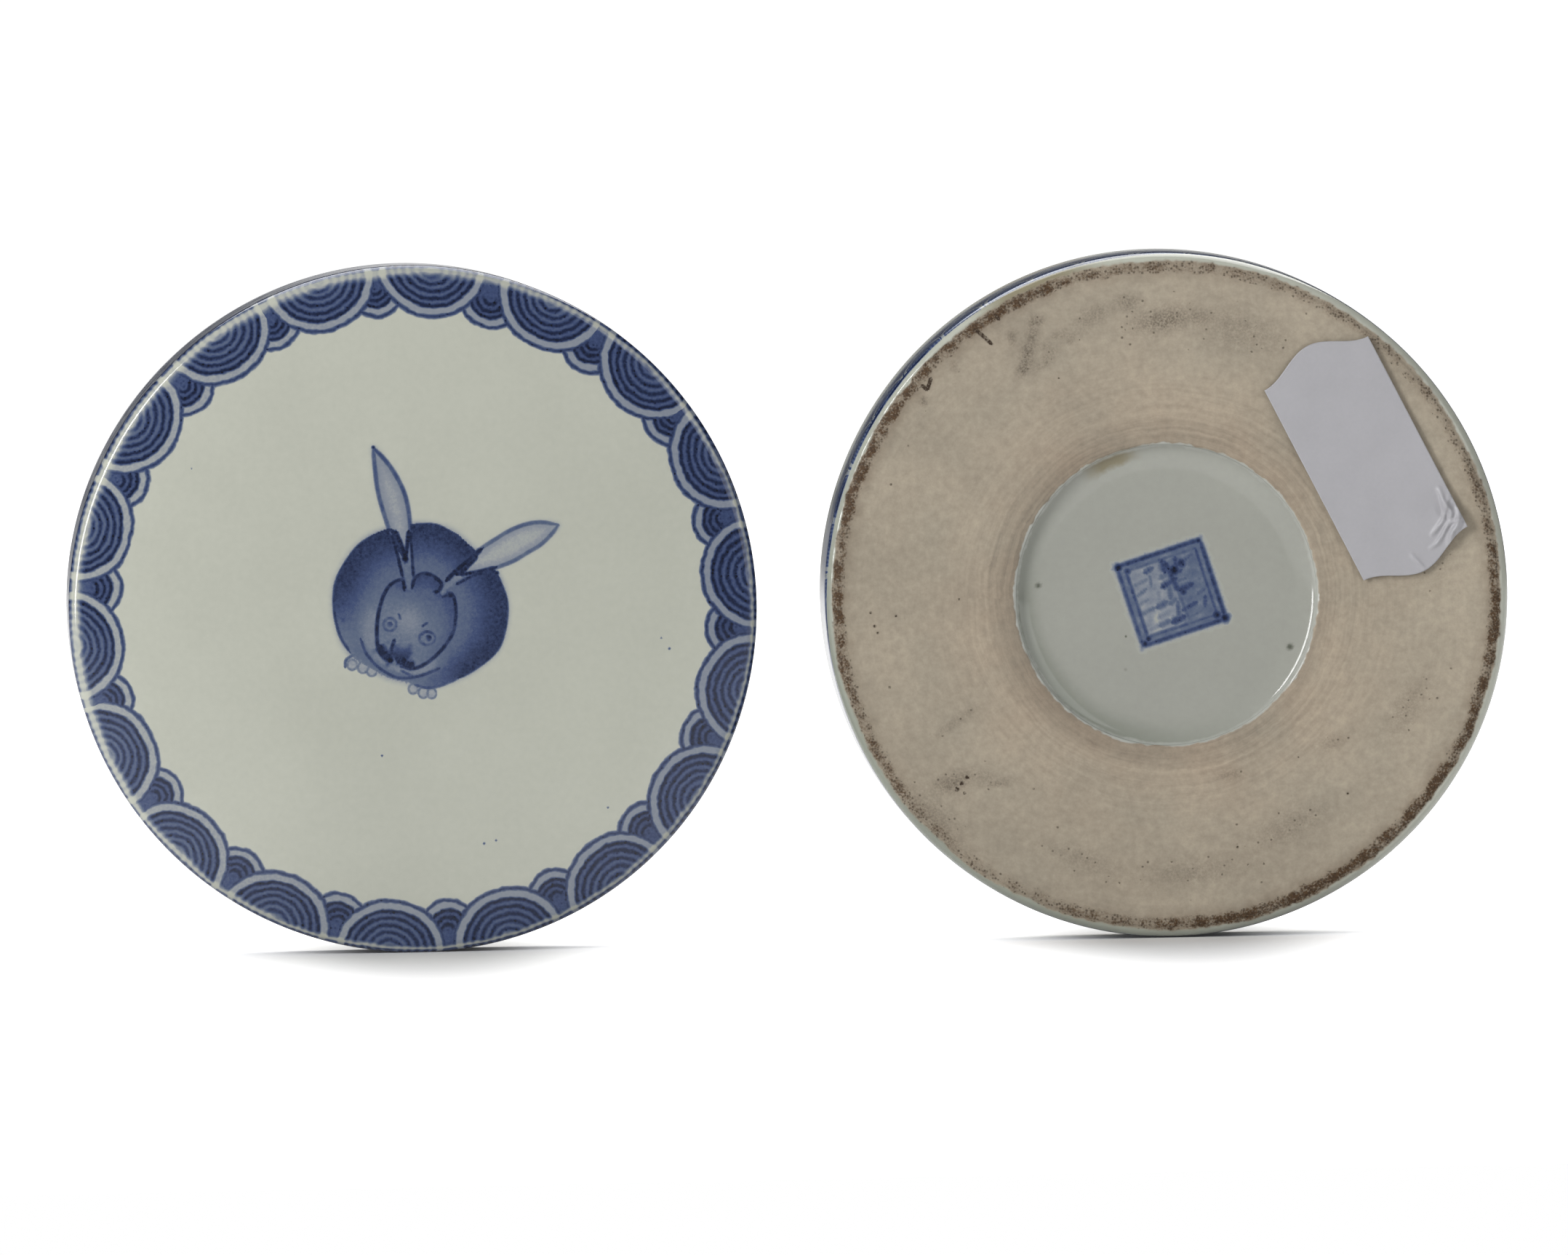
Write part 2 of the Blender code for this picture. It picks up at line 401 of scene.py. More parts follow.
# Each line is a width and a strength, whether it closes on itself, and its points.
RABBIT_LINES = [
    (0.26, 0.74, False,
     [(-2.9, 7.9), (-5.3, 6.7), (-6.9, 4.9), (-8.1, 2.6), (-8.3, -0.1), (-7.8, -2.7), (-6.8, -4.5)]),
    (0.26, 0.76, False, [(0.0, 8.4), (2.6, 8.2), (5.5, 6.2)]),
    (0.26, 0.76, False, [(8.3, 3.4), (9.3, 0.6), (9.2, -2.0), (8.3, -4.5), (6.2, -6.3), (4.2, -7.4)]),
    (0.26, 0.60, False, [(4.2, -7.4), (2.4, -8.1), (1.1, -8.3), (-0.2, -8.0)]),
    (0.36, 0.86, False,
     [(-1.1, 1.7), (-1.3, 2.8), (-2.4, 2.4), (-3.1, 1.5), (-3.6, 0.2), (-3.9, -1.2), (-4.0, -2.7), (-3.9, -4.1),
      (-3.4, -5.2)]),
    (0.38, 0.88, False, [(-0.3, 1.9), (0.0, 2.9), (0.9, 3.4), (1.9, 3.1), (2.7, 2.3), (2.4, 1.6), (1.9, 1.5)]),
    (0.36, 0.82, False,
     [(2.8, 0.9), (3.7, 1.3), (4.1, 0.2), (4.1, -1.2), (3.8, -2.7), (2.9, -4.1), (1.8, -5.2), (0.8, -5.9),
      (-0.3, -6.3), (-1.6, -6.1)]),
    (0.36, 0.58, False, LEFT_EAR[:10]), (0.36, 0.54, False, LEFT_EAR[10:] + LEFT_EAR[:1]),
    (0.34, 0.46, False, RIGHT_EAR[:11]), (0.34, 0.44, False, RIGHT_EAR[11:] + RIGHT_EAR[:1]),
    (0.34, 0.90, False, [(-2.3, 7.4), (-1.8, 5.6), (-1.25, 3.1)]),
    (0.40, 0.95, False, [(-1.9, 7.8), (-1.35, 6.4), (-0.9, 5.1)]),
    (0.36, 0.92, False, [(-0.55, 7.8), (-0.7, 6.4), (-0.9, 5.1)]),
    (0.30, 0.85, False, [(-0.35, 7.6), (-0.25, 5.4), (-0.15, 3.0)]),
    (0.42, 0.92, False, [(6.9, 5.8), (5.4, 4.6), (4.1, 3.5), (3.2, 2.6)]),
    (0.34, 0.90, False, [(6.4, 5.0), (5.4, 4.0), (4.7, 3.2)]),
    (0.34, 0.88, False, [(8.4, 3.9), (6.6, 3.5), (5.4, 3.3), (4.7, 3.2)]),
    (0.30, 0.82, False, [(7.4, 3.5), (5.6, 2.9), (4.2, 2.2)]),
    (0.30, 0.52, True, ring(-2.65, -1.75, 0.66, 0.66)), (0.30, 0.56, True, ring(1.15, -3.25, 0.82, 0.66)),
    (0.20, 0.58, False, [(-1.75, -0.7), (-1.5, -1.3)]), (0.24, 0.72, False, [(0.65, -2.0), (1.2, -1.65)]),
    (0.30, 0.70, False,
     [(-5.7, -3.1), (-5.1, -4.7), (-3.8, -6.2), (-2.0, -7.2), (-0.2, -7.2), (1.5, -6.7), (2.4, -6.3)]),
    (0.28, 0.58, False, [(-1.6, -6.5), (-0.3, -7.2)]),
    (0.24, 0.50, False, [(-6.3, -4.7), (-7.2, -5.3), (-7.3, -6.1)]),
    (0.85, 0.84, False, [(-3.9, -3.9), (-3.3, -4.7), (-2.6, -5.4)]),
    (0.75, 0.84, False, [(-2.0, -5.3), (-1.3, -5.7), (-0.3, -6.2)]),
    (0.36, 0.80, False, [(-2.2, -3.3), (-2.5, -4.2), (-2.5, -5.2)]),
    (0.30, 0.66, False, [(0.5, -2.9), (1.1, -2.55), (1.8, -2.8)]),
] + [(0.20, 0.34, True, paw) for paw in RABBIT_PAWS]
RABBIT_DOTS = [
    (-2.65, -1.75, 0.40, 0.86), (1.3, -3.2, 0.46, 0.84), (-0.95, 4.95, 0.48, 1.0), (-7.4, -1.4, 0.28, 0.86),
    (0.6, 7.9, 0.28, 0.84), (5.3, 6.2, 0.28, 0.86), (-3.3, 1.0, 0.24, 0.86), (2.6, 6.0, 0.18, 0.7),
    (9.0, -0.9, 0.22, 0.76), (-4.0, 16.4, 0.24, 0.8), (-3.4, -4.6, 0.5, 0.88), (-2.7, -5.4, 0.5, 0.95),
    (-1.3, -5.5, 0.5, 0.9), (-0.5, -5.9, 0.45, 0.88), (-1.1, 2.0, 0.34, 0.95), (2.2, 1.5, 0.34, 0.9),
    (3.6, 1.1, 0.36, 0.9), (-2.9, -3.5, 0.26, 0.7), (8.4, 3.3, 0.3, 0.85), (4.3, 3.3, 0.3, 0.9),
]
RABBIT_PLACE = np.array((0.22, 0.28))
NOSE = [(-2.4, -3.3), (-1.4, -3.9), (-0.4, -3.5), (-0.3, -4.9), (-1.1, -5.6), (-2.4, -5.4), (-3.1, -4.5)]
# Cobalt specks that fell on the white of the lid: x, y, radius, strength
LID_SPECKS = [
    (26.1, -4.5, 0.16, 0.55), (-3.5, -14.9, 0.14, 0.6), (6.8, -24.1, 0.15, 0.55), (8.0, -23.8, 0.14, 0.5),
    (19.5, -20.6, 0.13, 0.5), (-26.3, 11.6, 0.13, 0.55), (25.3, -3.4, 0.13, 0.35), (-22.4, 14.9, 0.1, 0.4),
]


def rabbit_lines():
    """Every brush line of the rabbit, rounded."""
    return [smooth_line(points, closed) + RABBIT_PLACE for _, _, closed, points in RABBIT_LINES]


def paint_rabbit(spots):
    """Cobalt from 0 to 1 at each spot of the lid's top."""
    whole, spots = spots, spots - RABBIT_PLACE
    x, y = spots.T
    body, head = smooth_line(RABBIT_BODY, True), smooth_line(RABBIT_HEAD, True)
    to_body, to_head = distance_to(spots, body)[0], distance_to(spots, head)[0]
    inward = to_body / (to_body + to_head + 1e-6)
    corner = step(9.0, 3.0, np.hypot(x + 5.5, y + 6.0)) + 0.5 * step(5.0, 2.0, np.hypot(x - 0.5, y + 8.4))
    worn = 0.41 * np.clip(corner, 0.0, 1.0) * (1 - step(0.0, 0.6, inward) * 0.5)
    wash = 0.73 - 0.33 * step(0.10, 0.92, inward) - worn
    halo = 0.14 * (1 - step(0.0, 0.9, to_body))
    cobalt = np.where(inside(spots, body), np.maximum(wash, 0.26), halo)
    top_right = step(-1.0, 6.5, 0.55 * x + 0.85 * y + 1.5)
    bright = np.exp(-((x + 0.6) ** 2 + (y + 1.2) ** 2) / 2.6)
    cheek = 0.12 * (1 - step(0.0, 1.8, to_head)) * step(-3.0, 0.5, x + 0.5 * y)
    cobalt = np.where(inside(spots, head), 0.33 - 0.10 * bright + 0.20 * top_right + cheek, cobalt)
    for ear, tip, fill, root in ((LEFT_EAR, (-3.0, 13.0), 0.19, 0.34), (RIGHT_EAR, (11.5, 6.7), 0.16, 0.30)):
        outline = smooth_line(ear, True)
        to_edge = distance_to(spots, outline)[0]
        near_root = step(5.0, 10.0, np.hypot(x - tip[0], y - tip[1]))
        wash = fill * (1.2 - 0.42 * step(0.0, 1.1, to_edge)) + (root - fill) * near_root
        halo = 0.12 * (1 - step(0.0, 0.7, to_edge))
        cobalt = np.where(inside(spots, outline), wash, np.maximum(cobalt, halo))
    for fold in (LEFT_FOLD, RIGHT_FOLD):
        cobalt = np.where(inside(spots, smooth_line(fold, True, 3)), 0.74, cobalt)
    nose = smooth_line(NOSE, True)
    nose_wash = (0.42 + 0.3 * step(-3.4, -5.4, y)) * step(0.0, 0.3, distance_to(spots, nose)[0])
    cobalt = np.where(inside(spots, nose), np.maximum(cobalt, nose_wash), cobalt)
    for paw in RABBIT_PAWS:
        cobalt = np.maximum(cobalt, 0.15 * inside(spots, np.array(paw)))
    for seed, ((width, strength, _, _), line) in enumerate(zip(RABBIT_LINES, rabbit_lines())):
        draw_line(cobalt, whole, line, width, strength, seed)
    for dot in RABBIT_DOTS:
        draw_dot(cobalt, spots, *dot)
    for speck in LID_SPECKS:
        draw_dot(cobalt, whole, *speck)
    return cobalt


# Turn of the seal in degrees, its height to its width, and its middle in mm
SEAL_TURN = 17.3
SEAL_SHAPE = np.array((1.0, 0.955))
SEAL_PLACE = np.array((0.55, 0.18))
# Dark specks in the glaze of the recess: x, y, radius, strength
RECESS_SPECKS = [
    (-13.1, 1.2, 0.34, 0.8), (-4.2, -4.2, 0.14, 0.9), (-4.3, -7.6, 0.2, 0.25), (12.6, -5.6, 0.42, 0.8),
]


def seal_spin():
    """Matrix that turns a place on the upright seal to its place in the recess."""
    turn = math.radians(SEAL_TURN)
    return np.array(((math.cos(turn), -math.sin(turn)), (math.sin(turn), math.cos(turn))))


def seal_lines(side):
    """The seal's double frame and the short bars in it, each as (width, strength, line)."""
    draw = np.random.default_rng(7)
    half = side / MM / 2
    lines = []
    for size, width, strength in ((half - 0.15, 0.54, 0.68), (half - 0.85, 0.50, 0.58)):
        corners = [(-size, -size), (size, -size), (size, size), (-size, size), (-size, -size)]
        lines += [(width, strength * draw.uniform(0.85, 1.1), np.linspace(a, b, 9))
                  for a, b in zip(corners, corners[1:])]
    field = half - 1.3
    for column in range(5):
        for row in range(7):
            x, y = (column - 2) * field * 0.44, (row - 3) * field * 0.30
            dark = (0.30, 0.38, 0.56, 0.58, 0.48)[column] + 0.05 * (row > 4)
            reach = field * draw.uniform(0.12, 0.26)
            bar = np.array(((-reach, draw.uniform(-0.2, 0.0)), (reach, draw.uniform(0.0, 0.3))))
            bar = bar if draw.uniform() < 0.62 else bar[:, ::-1]
            lines.append((draw.uniform(0.55, 0.95), dark * draw.uniform(0.6, 1.3),
                          bar + (x + draw.uniform(-0.2, 0.2), y)))
    lines += [(0.8, 0.70, np.array(((0.35, field), (0.75, 0.0)))),
              (0.6, 0.52, np.array(((0.75, 0.0), (0.9, -field))))]
    spin = seal_spin()
    return [(width, strength, (line * SEAL_SHAPE) @ spin.T + SEAL_PLACE) for width, strength, line in lines]


def paint_seal(spots, side):
    """Cobalt from 0 to 1 at each spot of the recess."""
    spin = seal_spin()
    local = (spots - SEAL_PLACE) @ spin / SEAL_SHAPE
    half = side / MM / 2
    edge = np.abs(local).max(1)
    u, v = local.T
    wash = 0.20 + 0.15 * (edge > half - 0.85) + 0.15 * (edge < half - 0.85) * step(-0.6, 1.4, u)
    wash = wash + 0.06 * np.sin(2.1 * u + 1.7 * v) * np.sin(2.9 * v - 0.8 * u)
    wash = wash - 0.10 * np.exp(-((u + 1.8) ** 2 + (v + 2.2) ** 2) / 2.0)
    cobalt = wash * (1 - step(half - 0.1, half + 0.45, edge))
    for seed, (width, strength, line) in enumerate(seal_lines(side)):
        draw_line(cobalt, spots, line, width, strength, 100 + seed, 0.0)
    pools = (
        (0.25 - half, half - 0.25, 0.48, 1.0), (half - 0.2, 0.25 - half, 0.55, 0.95),
        (0.4 - half, 0.3 - half, 0.42, 0.95), (half - 0.3, half - 0.2, 0.36, 0.88),
        (1.0 - half, half - 0.9, 0.5, 0.72), (half - 0.9, 0.8 - half, 0.6, 0.86),
        (0.9 - half, 0.7 - half, 0.4, 0.9), (1.0, 2.2, 0.75, 0.92), (1.9, 2.7, 0.7, 0.78),
        (1.2, -0.3, 0.5, 0.80),
    )
    for x, y, radius, strength in pools:
        x, y = spin @ (np.array((x, y)) * SEAL_SHAPE) + SEAL_PLACE
        draw_dot(cobalt, spots, x, y, 1.35 * radius, strength, 0.0)
    return cobalt


# Grey smudges on the bare foot: x, y, length, width, direction in degrees, strength
FOOT_SMUDGES = [
    (0.3, 28.2, 2.2, 0.9, 10, 0.75), (-3.4, 30.0, 1.0, 0.6, 0, 0.6), (3.9, 28.4, 1.5, 0.7, 0, 0.5),
    (-7.1, 28.6, 1.6, 0.7, 30, 0.45), (-12.8, 28.3, 0.5, 0.35, 0, 0.9), (-13.2, 26.9, 0.9, 0.4, 80, 0.7),
    (-13.7, 25.2, 1.2, 0.5, 75, 0.75), (-14.1, 23.6, 0.8, 0.4, 60, 0.9), (-11.9, 24.3, 1.1, 0.35, 40, 0.7),
    (-10.5, 26.8, 0.6, 0.25, 20, 0.7), (-9.3, 26.4, 0.35, 0.25, 0, 0.8), (-12.0, 25.8, 0.5, 0.3, 0, 0.5),
    (-15.3, 26.6, 0.6, 0.3, 90, 0.6), (-21.2, 23.9, 0.3, 0.35, 0, 0.55), (-24.5, 20.3, 0.3, 0.3, 0, 0.8),
    (-22.0, -12.7, 2.0, 0.3, 35, 0.4), (-17.7, -18.9, 1.3, 0.25, 5, 0.6), (8.0, 27.0, 3.5, 1.5, -15, 0.35),
    (-22.2, -18.8, 1.8, 0.7, 20, 0.6), (-19.0, -18.2, 1.0, 0.5, 0, 0.4), (-24.5, -22.5, 3.0, 1.6, -50, 0.4),
    (6.2, -18.6, 1.0, 0.4, 0, 0.45), (16.6, -15.4, 1.2, 0.5, 20, 0.4), (12.0, -24.0, 3.2, 1.1, 25, 0.35),
    (24.5, -12.0, 2.4, 1.0, 60, 0.35), (27.6, 4.0, 1.5, 2.2, 0, 0.3), (2.0, -28.5, 4.2, 1.0, 5, 0.35),
    (-9.0, -27.0, 3.0, 0.9, -20, 0.3),
]
# Dark scratches and marks on the bare foot: each a line in mm
FOOT_SCRATCHES = [
    [(-19.0, 27.5), (-18.3, 26.9), (-17.4, 26.0)], [(-24.7, 22.0), (-24.4, 21.75), (-24.1, 21.5)],
    [(-24.1, 21.5), (-23.9, 22.1), (-23.7, 22.7)], [(-16.9, 28.9), (-16.6, 28.5)],
]
# Single dark grains on the bare foot: x, y, radius, strength
FOOT_GRAINS = [
    (-28.05, 11.9, 0.15, 0.9), (-21.3, 0.0, 0.14, 0.75), (-27.8, -1.6, 0.14, 0.9), (-30.4, -1.2, 0.18, 0.8),
    (-30.0, -2.6, 0.2, 0.7), (-29.7, -3.3, 0.16, 0.8), (-21.9, -19.5, 0.3, 0.9), (-21.4, -18.9, 0.28, 0.85),
    (-20.8, -18.3, 0.26, 0.95), (-21.1, -19.9, 0.2, 0.85), (-28.6, -8.9, 0.16, 0.6), (-14.0, -19.6, 0.14, 0.6),
    (-10.6, 22.4, 0.12, 0.6), (9.5, 26.4, 0.14, 0.6), (22.5, 14.6, 0.14, 0.6), (18.2, -20.7, 0.16, 0.7),
    (6.8, -26.0, 0.16, 0.7), (-26.2, 15.8, 0.12, 0.6), (13.2, -16.9, 0.12, 0.5), (29.0, -8.1, 0.14, 0.6),
]


def soil_foot(spots):
    """Soil from 0 to 1 at each spot of the foot."""
    soil = np.zeros(len(spots))
    for x, y, along, aside, turn, strength in FOOT_SMUDGES:
        a = math.radians(turn)
        u = (spots[:, 0] - x) * math.cos(a) + (spots[:, 1] - y) * math.sin(a)
        v = (spots[:, 1] - y) * math.cos(a) - (spots[:, 0] - x) * math.sin(a)
        soil = np.maximum(soil, 0.5 * strength * np.exp(-0.5 * ((u / along) ** 2 + (v / aside) ** 2)))
    for seed, scratch in enumerate(FOOT_SCRATCHES):
        draw_line(soil, spots, smooth_line(scratch), 0.24, 1.0, 300 + seed, 0.55)
    for grain in FOOT_GRAINS:
        draw_dot(soil, spots, *grain)
    return soil


# Materials

# The property that holds a node's mode
MODES = {"Math": "operation", "VectorMath": "operation", "MapRange": "interpolation_type", "Mix": "data_type"}


def add(tree, kind, *feeds, **settings):
    """Adds one shader node, sets its properties, and feeds its inputs from numbers, colours or other nodes.

    A mode may follow the kind, as in "Math ADD". The feeds come in the order of the inputs, or as one dict.
    """
    kind, _, mode = kind.partition(" ")
    node = tree.nodes.new("ShaderNode" + kind)
    if mode:
        settings[MODES[kind]] = mode
    for key, value in settings.items():
        setattr(node, key, value)
    for key, value in feeds[0].items() if feeds and isinstance(feeds[0], dict) else enumerate(feeds):
        source = value.outputs[0] if isinstance(value, bpy.types.Node) else value
        if isinstance(source, bpy.types.NodeSocket):
            tree.links.new(source, node.inputs[key])
        else:
            node.inputs[key].default_value = source
    return node


def new_material(name):
    """An empty material, and the function that adds nodes to it."""
    material = bpy.data.materials.new(name)
    material.use_nodes = True
    material.node_tree.nodes.clear()
    return material, partial(add, material.node_tree)


def near(put, value, middle, inner, outer, most=1.0, mode="LINEAR"):
    """The most within inner of the middle, and 0 beyond outer."""
    off = put("Math ABSOLUTE", put("Math SUBTRACT", value, middle))
    return put("MapRange " + mode, off, inner, outer, most, 0.0)


def lay_over(put, under, *coats):
    """The colour below coats laid one after the other, each as its amount from 0 to 1 and its colour."""
    for amount, over in coats:
        under = put("Mix RGBA", {0: amount, 6: under, 7: over}).outputs[2]
    return under


def toward(put, angle, turn):
    """From -1 to 1: how far an angle on the disc lies towards minus the turn, in radians."""
    return put("Math COSINE", put("Math ADD", angle, turn))


def disc_place(put):
    """Where a point lies on its disc, in mm: place, distance from the axis, angle, height from the parting.

    All but the place tremble a little, as a brush does.
    """
    place = put("VectorMath SCALE", {0: put("TexCoord").outputs["Object"], "Scale": 1 / MM})
    wander = put("TexNoise", {"Vector": place, "Scale": 0.22, "Detail": 1.0})
    wander = put("VectorMath SUBTRACT", {0: wander.outputs["Color"], 1: (0.5, 0.5, 0.5)})
    drawn = put("VectorMath MULTIPLY_ADD", {0: wander, 1: (0.55, 0.55, 0.0), 2: place})
    tremble = put("TexNoise", {"Vector": place, "Scale": 1.3, "Detail": 1.0})
    tremble = put("VectorMath SUBTRACT", {0: tremble.outputs["Color"], 1: (0.5, 0.5, 0.5)})
    drawn = put("VectorMath MULTIPLY_ADD", {0: tremble, 1: (0.32, 0.32, 0.0), 2: drawn})
    x, y, height = put("SeparateXYZ", drawn).outputs
    flat = put("CombineXYZ", x, y, 0.0)
    radius = put("VectorMath LENGTH", flat).outputs["Value"]
    angle = put("Math ARCTAN2", y, x)
    return place, radius, angle, height


def wave_row(put, radius, angle, height, row):
    """One ring of hand-drawn waves, as (cobalt, 1 inside the waves). Lengths in mm."""
    turns = put("Math MULTIPLY_ADD", angle, row["count"] / math.tau, -row["first"] * row["count"] / 360)
    number = put("Math ROUND", turns)
    chance = put("TexWhiteNoise", {"W": number}, noise_dimensions="1D")
    off = put("Math SUBTRACT", turns, number)
    off = put("Math MULTIPLY_ADD", chance.outputs["Value"], row["jitter"], off)
    aside = put("Math MULTIPLY", off, math.tau / row["count"])
    across = put("Math MULTIPLY", put("Math SINE", aside), radius)
    across = put("Math MULTIPLY", across, row["squeeze"])
    reach = put("Math MULTIPLY", put("Math COSINE", aside), radius)
    inward = put("Math MAXIMUM", put("Math SUBTRACT", row["rim"], reach), 0.0)
    below = put("Math MAXIMUM", put("Math SUBTRACT", row["arris"], height), 0.0)
    sway = put("Math MULTIPLY_ADD", put("SeparateColor", chance.outputs["Color"]), -row["sway"],
               -row["depth"] + row["sway"] / 2)
    along = below if row["side"] else put("Math ADD", inward, below)
    deep = put("Math ADD", along, sway)
    away = put("VectorMath LENGTH", put("CombineXYZ", across, deep, 0.0)).outputs["Value"]
    waves = put("Math PINGPONG", put("Math SUBTRACT", away, row["start"]), row["pitch"] / 2)
    line = put("MapRange SMOOTHSTEP", waves, row["pitch"] * 0.04, row["pitch"] * 0.46, 1.0, 0.0)
    fan = put("MapRange", deep, row["fan"] - 0.5, row["fan"], 0.0, 1.0)
    line = put("Math MULTIPLY", line, fan)
    core = put("MapRange SMOOTHSTEP", away, row["core"] - 0.14, row["core"] + 0.3, 1.0, 0.0)
    heart = put("MapRange", away, 0.0, row["core"], row["heart"], 1.0)
    tone = put("MapRange", line, 0.0, 1.0, row["wash"], row["line"])
    tone = put("Math MULTIPLY", put("Math MULTIPLY", tone, core), heart)
    rim_line = near(put, away, row["radius"], 0.0, 0.4, row["outline"], "SMOOTHSTEP")
    within = put("MapRange SMOOTHSTEP", away, row["radius"], row["radius"] + 0.12, 1.0, 0.0)
    tone = put("Math MAXIMUM", tone, put("Math MULTIPLY", within, 0.15))
    return put("Math MAXIMUM", tone, rim_line), within


def stack_rows(put, radius, angle, height, rows):
    """Rows of waves from the back to the front, each covering the one behind."""
    total = None
    for row in rows:
        cobalt, within = wave_row(put, radius, angle, height, row)
        if total is None:
            total = cobalt
        else:
            total = put("Mix FLOAT", {0: within, 2: total, 3: cobalt})
            total = put("Math MAXIMUM", total, cobalt)
    return total


def cobalt_under_glaze(put, place, cobalt, finishes, glaze, spotted=1.0):
    """Colour of cobalt seen through the glaze, with the grain and dark specks of hand-ground pigment."""
    grain = put("TexNoise", {"Vector": place, "Scale": 3.2, "Detail": 3.0, "Roughness": 0.7})
    uneven = put("MapRange", grain, 0.3, 0.7, 0.87, 1.13)
    cells = put("TexVoronoi", {"Vector": place, "Scale": 2.1, "Randomness": 1.0})
    small = put("MapRange SMOOTHSTEP", cells, 0.1, 0.34, 1.0, 0.0)
    chosen = put("Math GREATER_THAN", put("SeparateColor", cells.outputs["Color"]), 0.5)
    on_line = put("Math MULTIPLY", put("MapRange", cobalt, 0.45, 0.78, 0.0, 0.4), spotted)
    speck = put("Math MULTIPLY", put("Math MULTIPLY", small, chosen), on_line)
    amount = put("Math ADD", put("Math MULTIPLY", cobalt, uneven), speck)
    ramp = put("ValToRGB", amount)
    shades = ((0.16, finishes.pale_cobalt), (0.34, finishes.thin_cobalt), (0.54, finishes.wash_cobalt),
              (0.8, finishes.deep_cobalt))
    ramp.color_ramp.elements[0].position = 0.0
    ramp.color_ramp.elements[1].position = 1.0
    for position, shade in shades:
        ramp.color_ramp.elements.new(position).color = shade
    ramp.color_ramp.elements[0].color = finishes.glaze
    ramp.color_ramp.elements[-1].color = finishes.pooled_cobalt
    bare = put("MapRange", amount, 0.0, 0.16, 0.0, 1.0)
    return lay_over(put, glaze, (bare, ramp))


def glaze_tone(put, place, shade_of_glaze):
    """The clear glaze over white porcelain: a grey-green white that varies slowly, thicker in patches."""
    cloud = put("TexNoise", {"Vector": place, "Scale": 0.05, "Detail": 3.0})
    fleck = put("TexNoise", {"Vector": place, "Scale": 1.4, "Detail": 2.0})
    shade = put("Math MULTIPLY_ADD", cloud, 0.7, put("Math MULTIPLY", fleck, 0.3))
    shade = put("MapRange", shade, 0.35, 0.65, 0.95, 1.04)
    return put("VectorMath SCALE", {0: tuple(shade_of_glaze)[:3], "Scale": shade})


def glaze_ripple(put, place):
    """Fine waviness of a fired glaze: soft swells 3 mm apart and a faint orange-peel of 0.4 mm.

    Both are drawn deeper than they are, so that they show.
    """
    swell = put("TexNoise", {"Vector": place, "Scale": 0.35, "Detail": 1.0})
    peel = put("TexNoise", {"Vector": place, "Scale": 2.6, "Detail": 1.0})
    height = put("Math MULTIPLY_ADD", peel, 0.06, swell)
    return put("Bump", {"Height": height, "Strength": 0.35, "Distance": 0.03 * MM})


def shade_surface(put, **feeds):
    """Ends a material with one surface shader and the output."""
    surface = put("BsdfPrincipled", {key.replace("_", " "): value for key, value in feeds.items()})
    put("OutputMaterial", {"Surface": surface})


# Rows of waves from the back to the front, in mm. A row has count waves, the first in degrees, with their
# middles at a depth from the arris. Rings at a pitch run from start to the core, and the outline is at the
# radius. The fan is the depth that the rings begin at.
WALL_WAVE = dict(radius=3.1, squeeze=1.0, pitch=0.6, start=0.2, heart=1.0, outline=0.66, jitter=0.06, fan=-9.0,
                 sway=0.2, side=True)
LID_WAVES = [
    dict(WALL_WAVE, count=36, first=5.0 * (number % 2), depth=4.9 + 2.1 * number, core=2.3, wash=0.60,
         line=0.84)
    for number in (3, 2, 1, 0)
] + [
    dict(WALL_WAVE, count=18, first=15.7, depth=2.1, radius=3.0, pitch=0.66, start=0.0, core=2.16, wash=0.54,
         line=0.86, jitter=0.05, fan=0.4, sway=0.3, side=False),
    dict(WALL_WAVE, count=18, first=5.7, depth=0.0, radius=5.2, squeeze=0.9, pitch=0.73, start=0.5, core=4.33,
         heart=0.8, wash=0.47, line=0.86, jitter=0.07, sway=0.5, side=False),
]
BASE_WAVES = [
    dict(WALL_WAVE, count=40, first=4.5 * (number % 2), depth=2.4 + 2.6 * number, core=2.2, wash=0.56, line=0.8)
    for number in (2, 1)
] + [
    dict(WALL_WAVE, count=40, first=0.0, depth=0.0, radius=5.4, squeeze=1.9, pitch=0.8, core=4.3, heart=0.9,
         wash=0.40, line=0.64, jitter=0.07, sway=0.6),
]


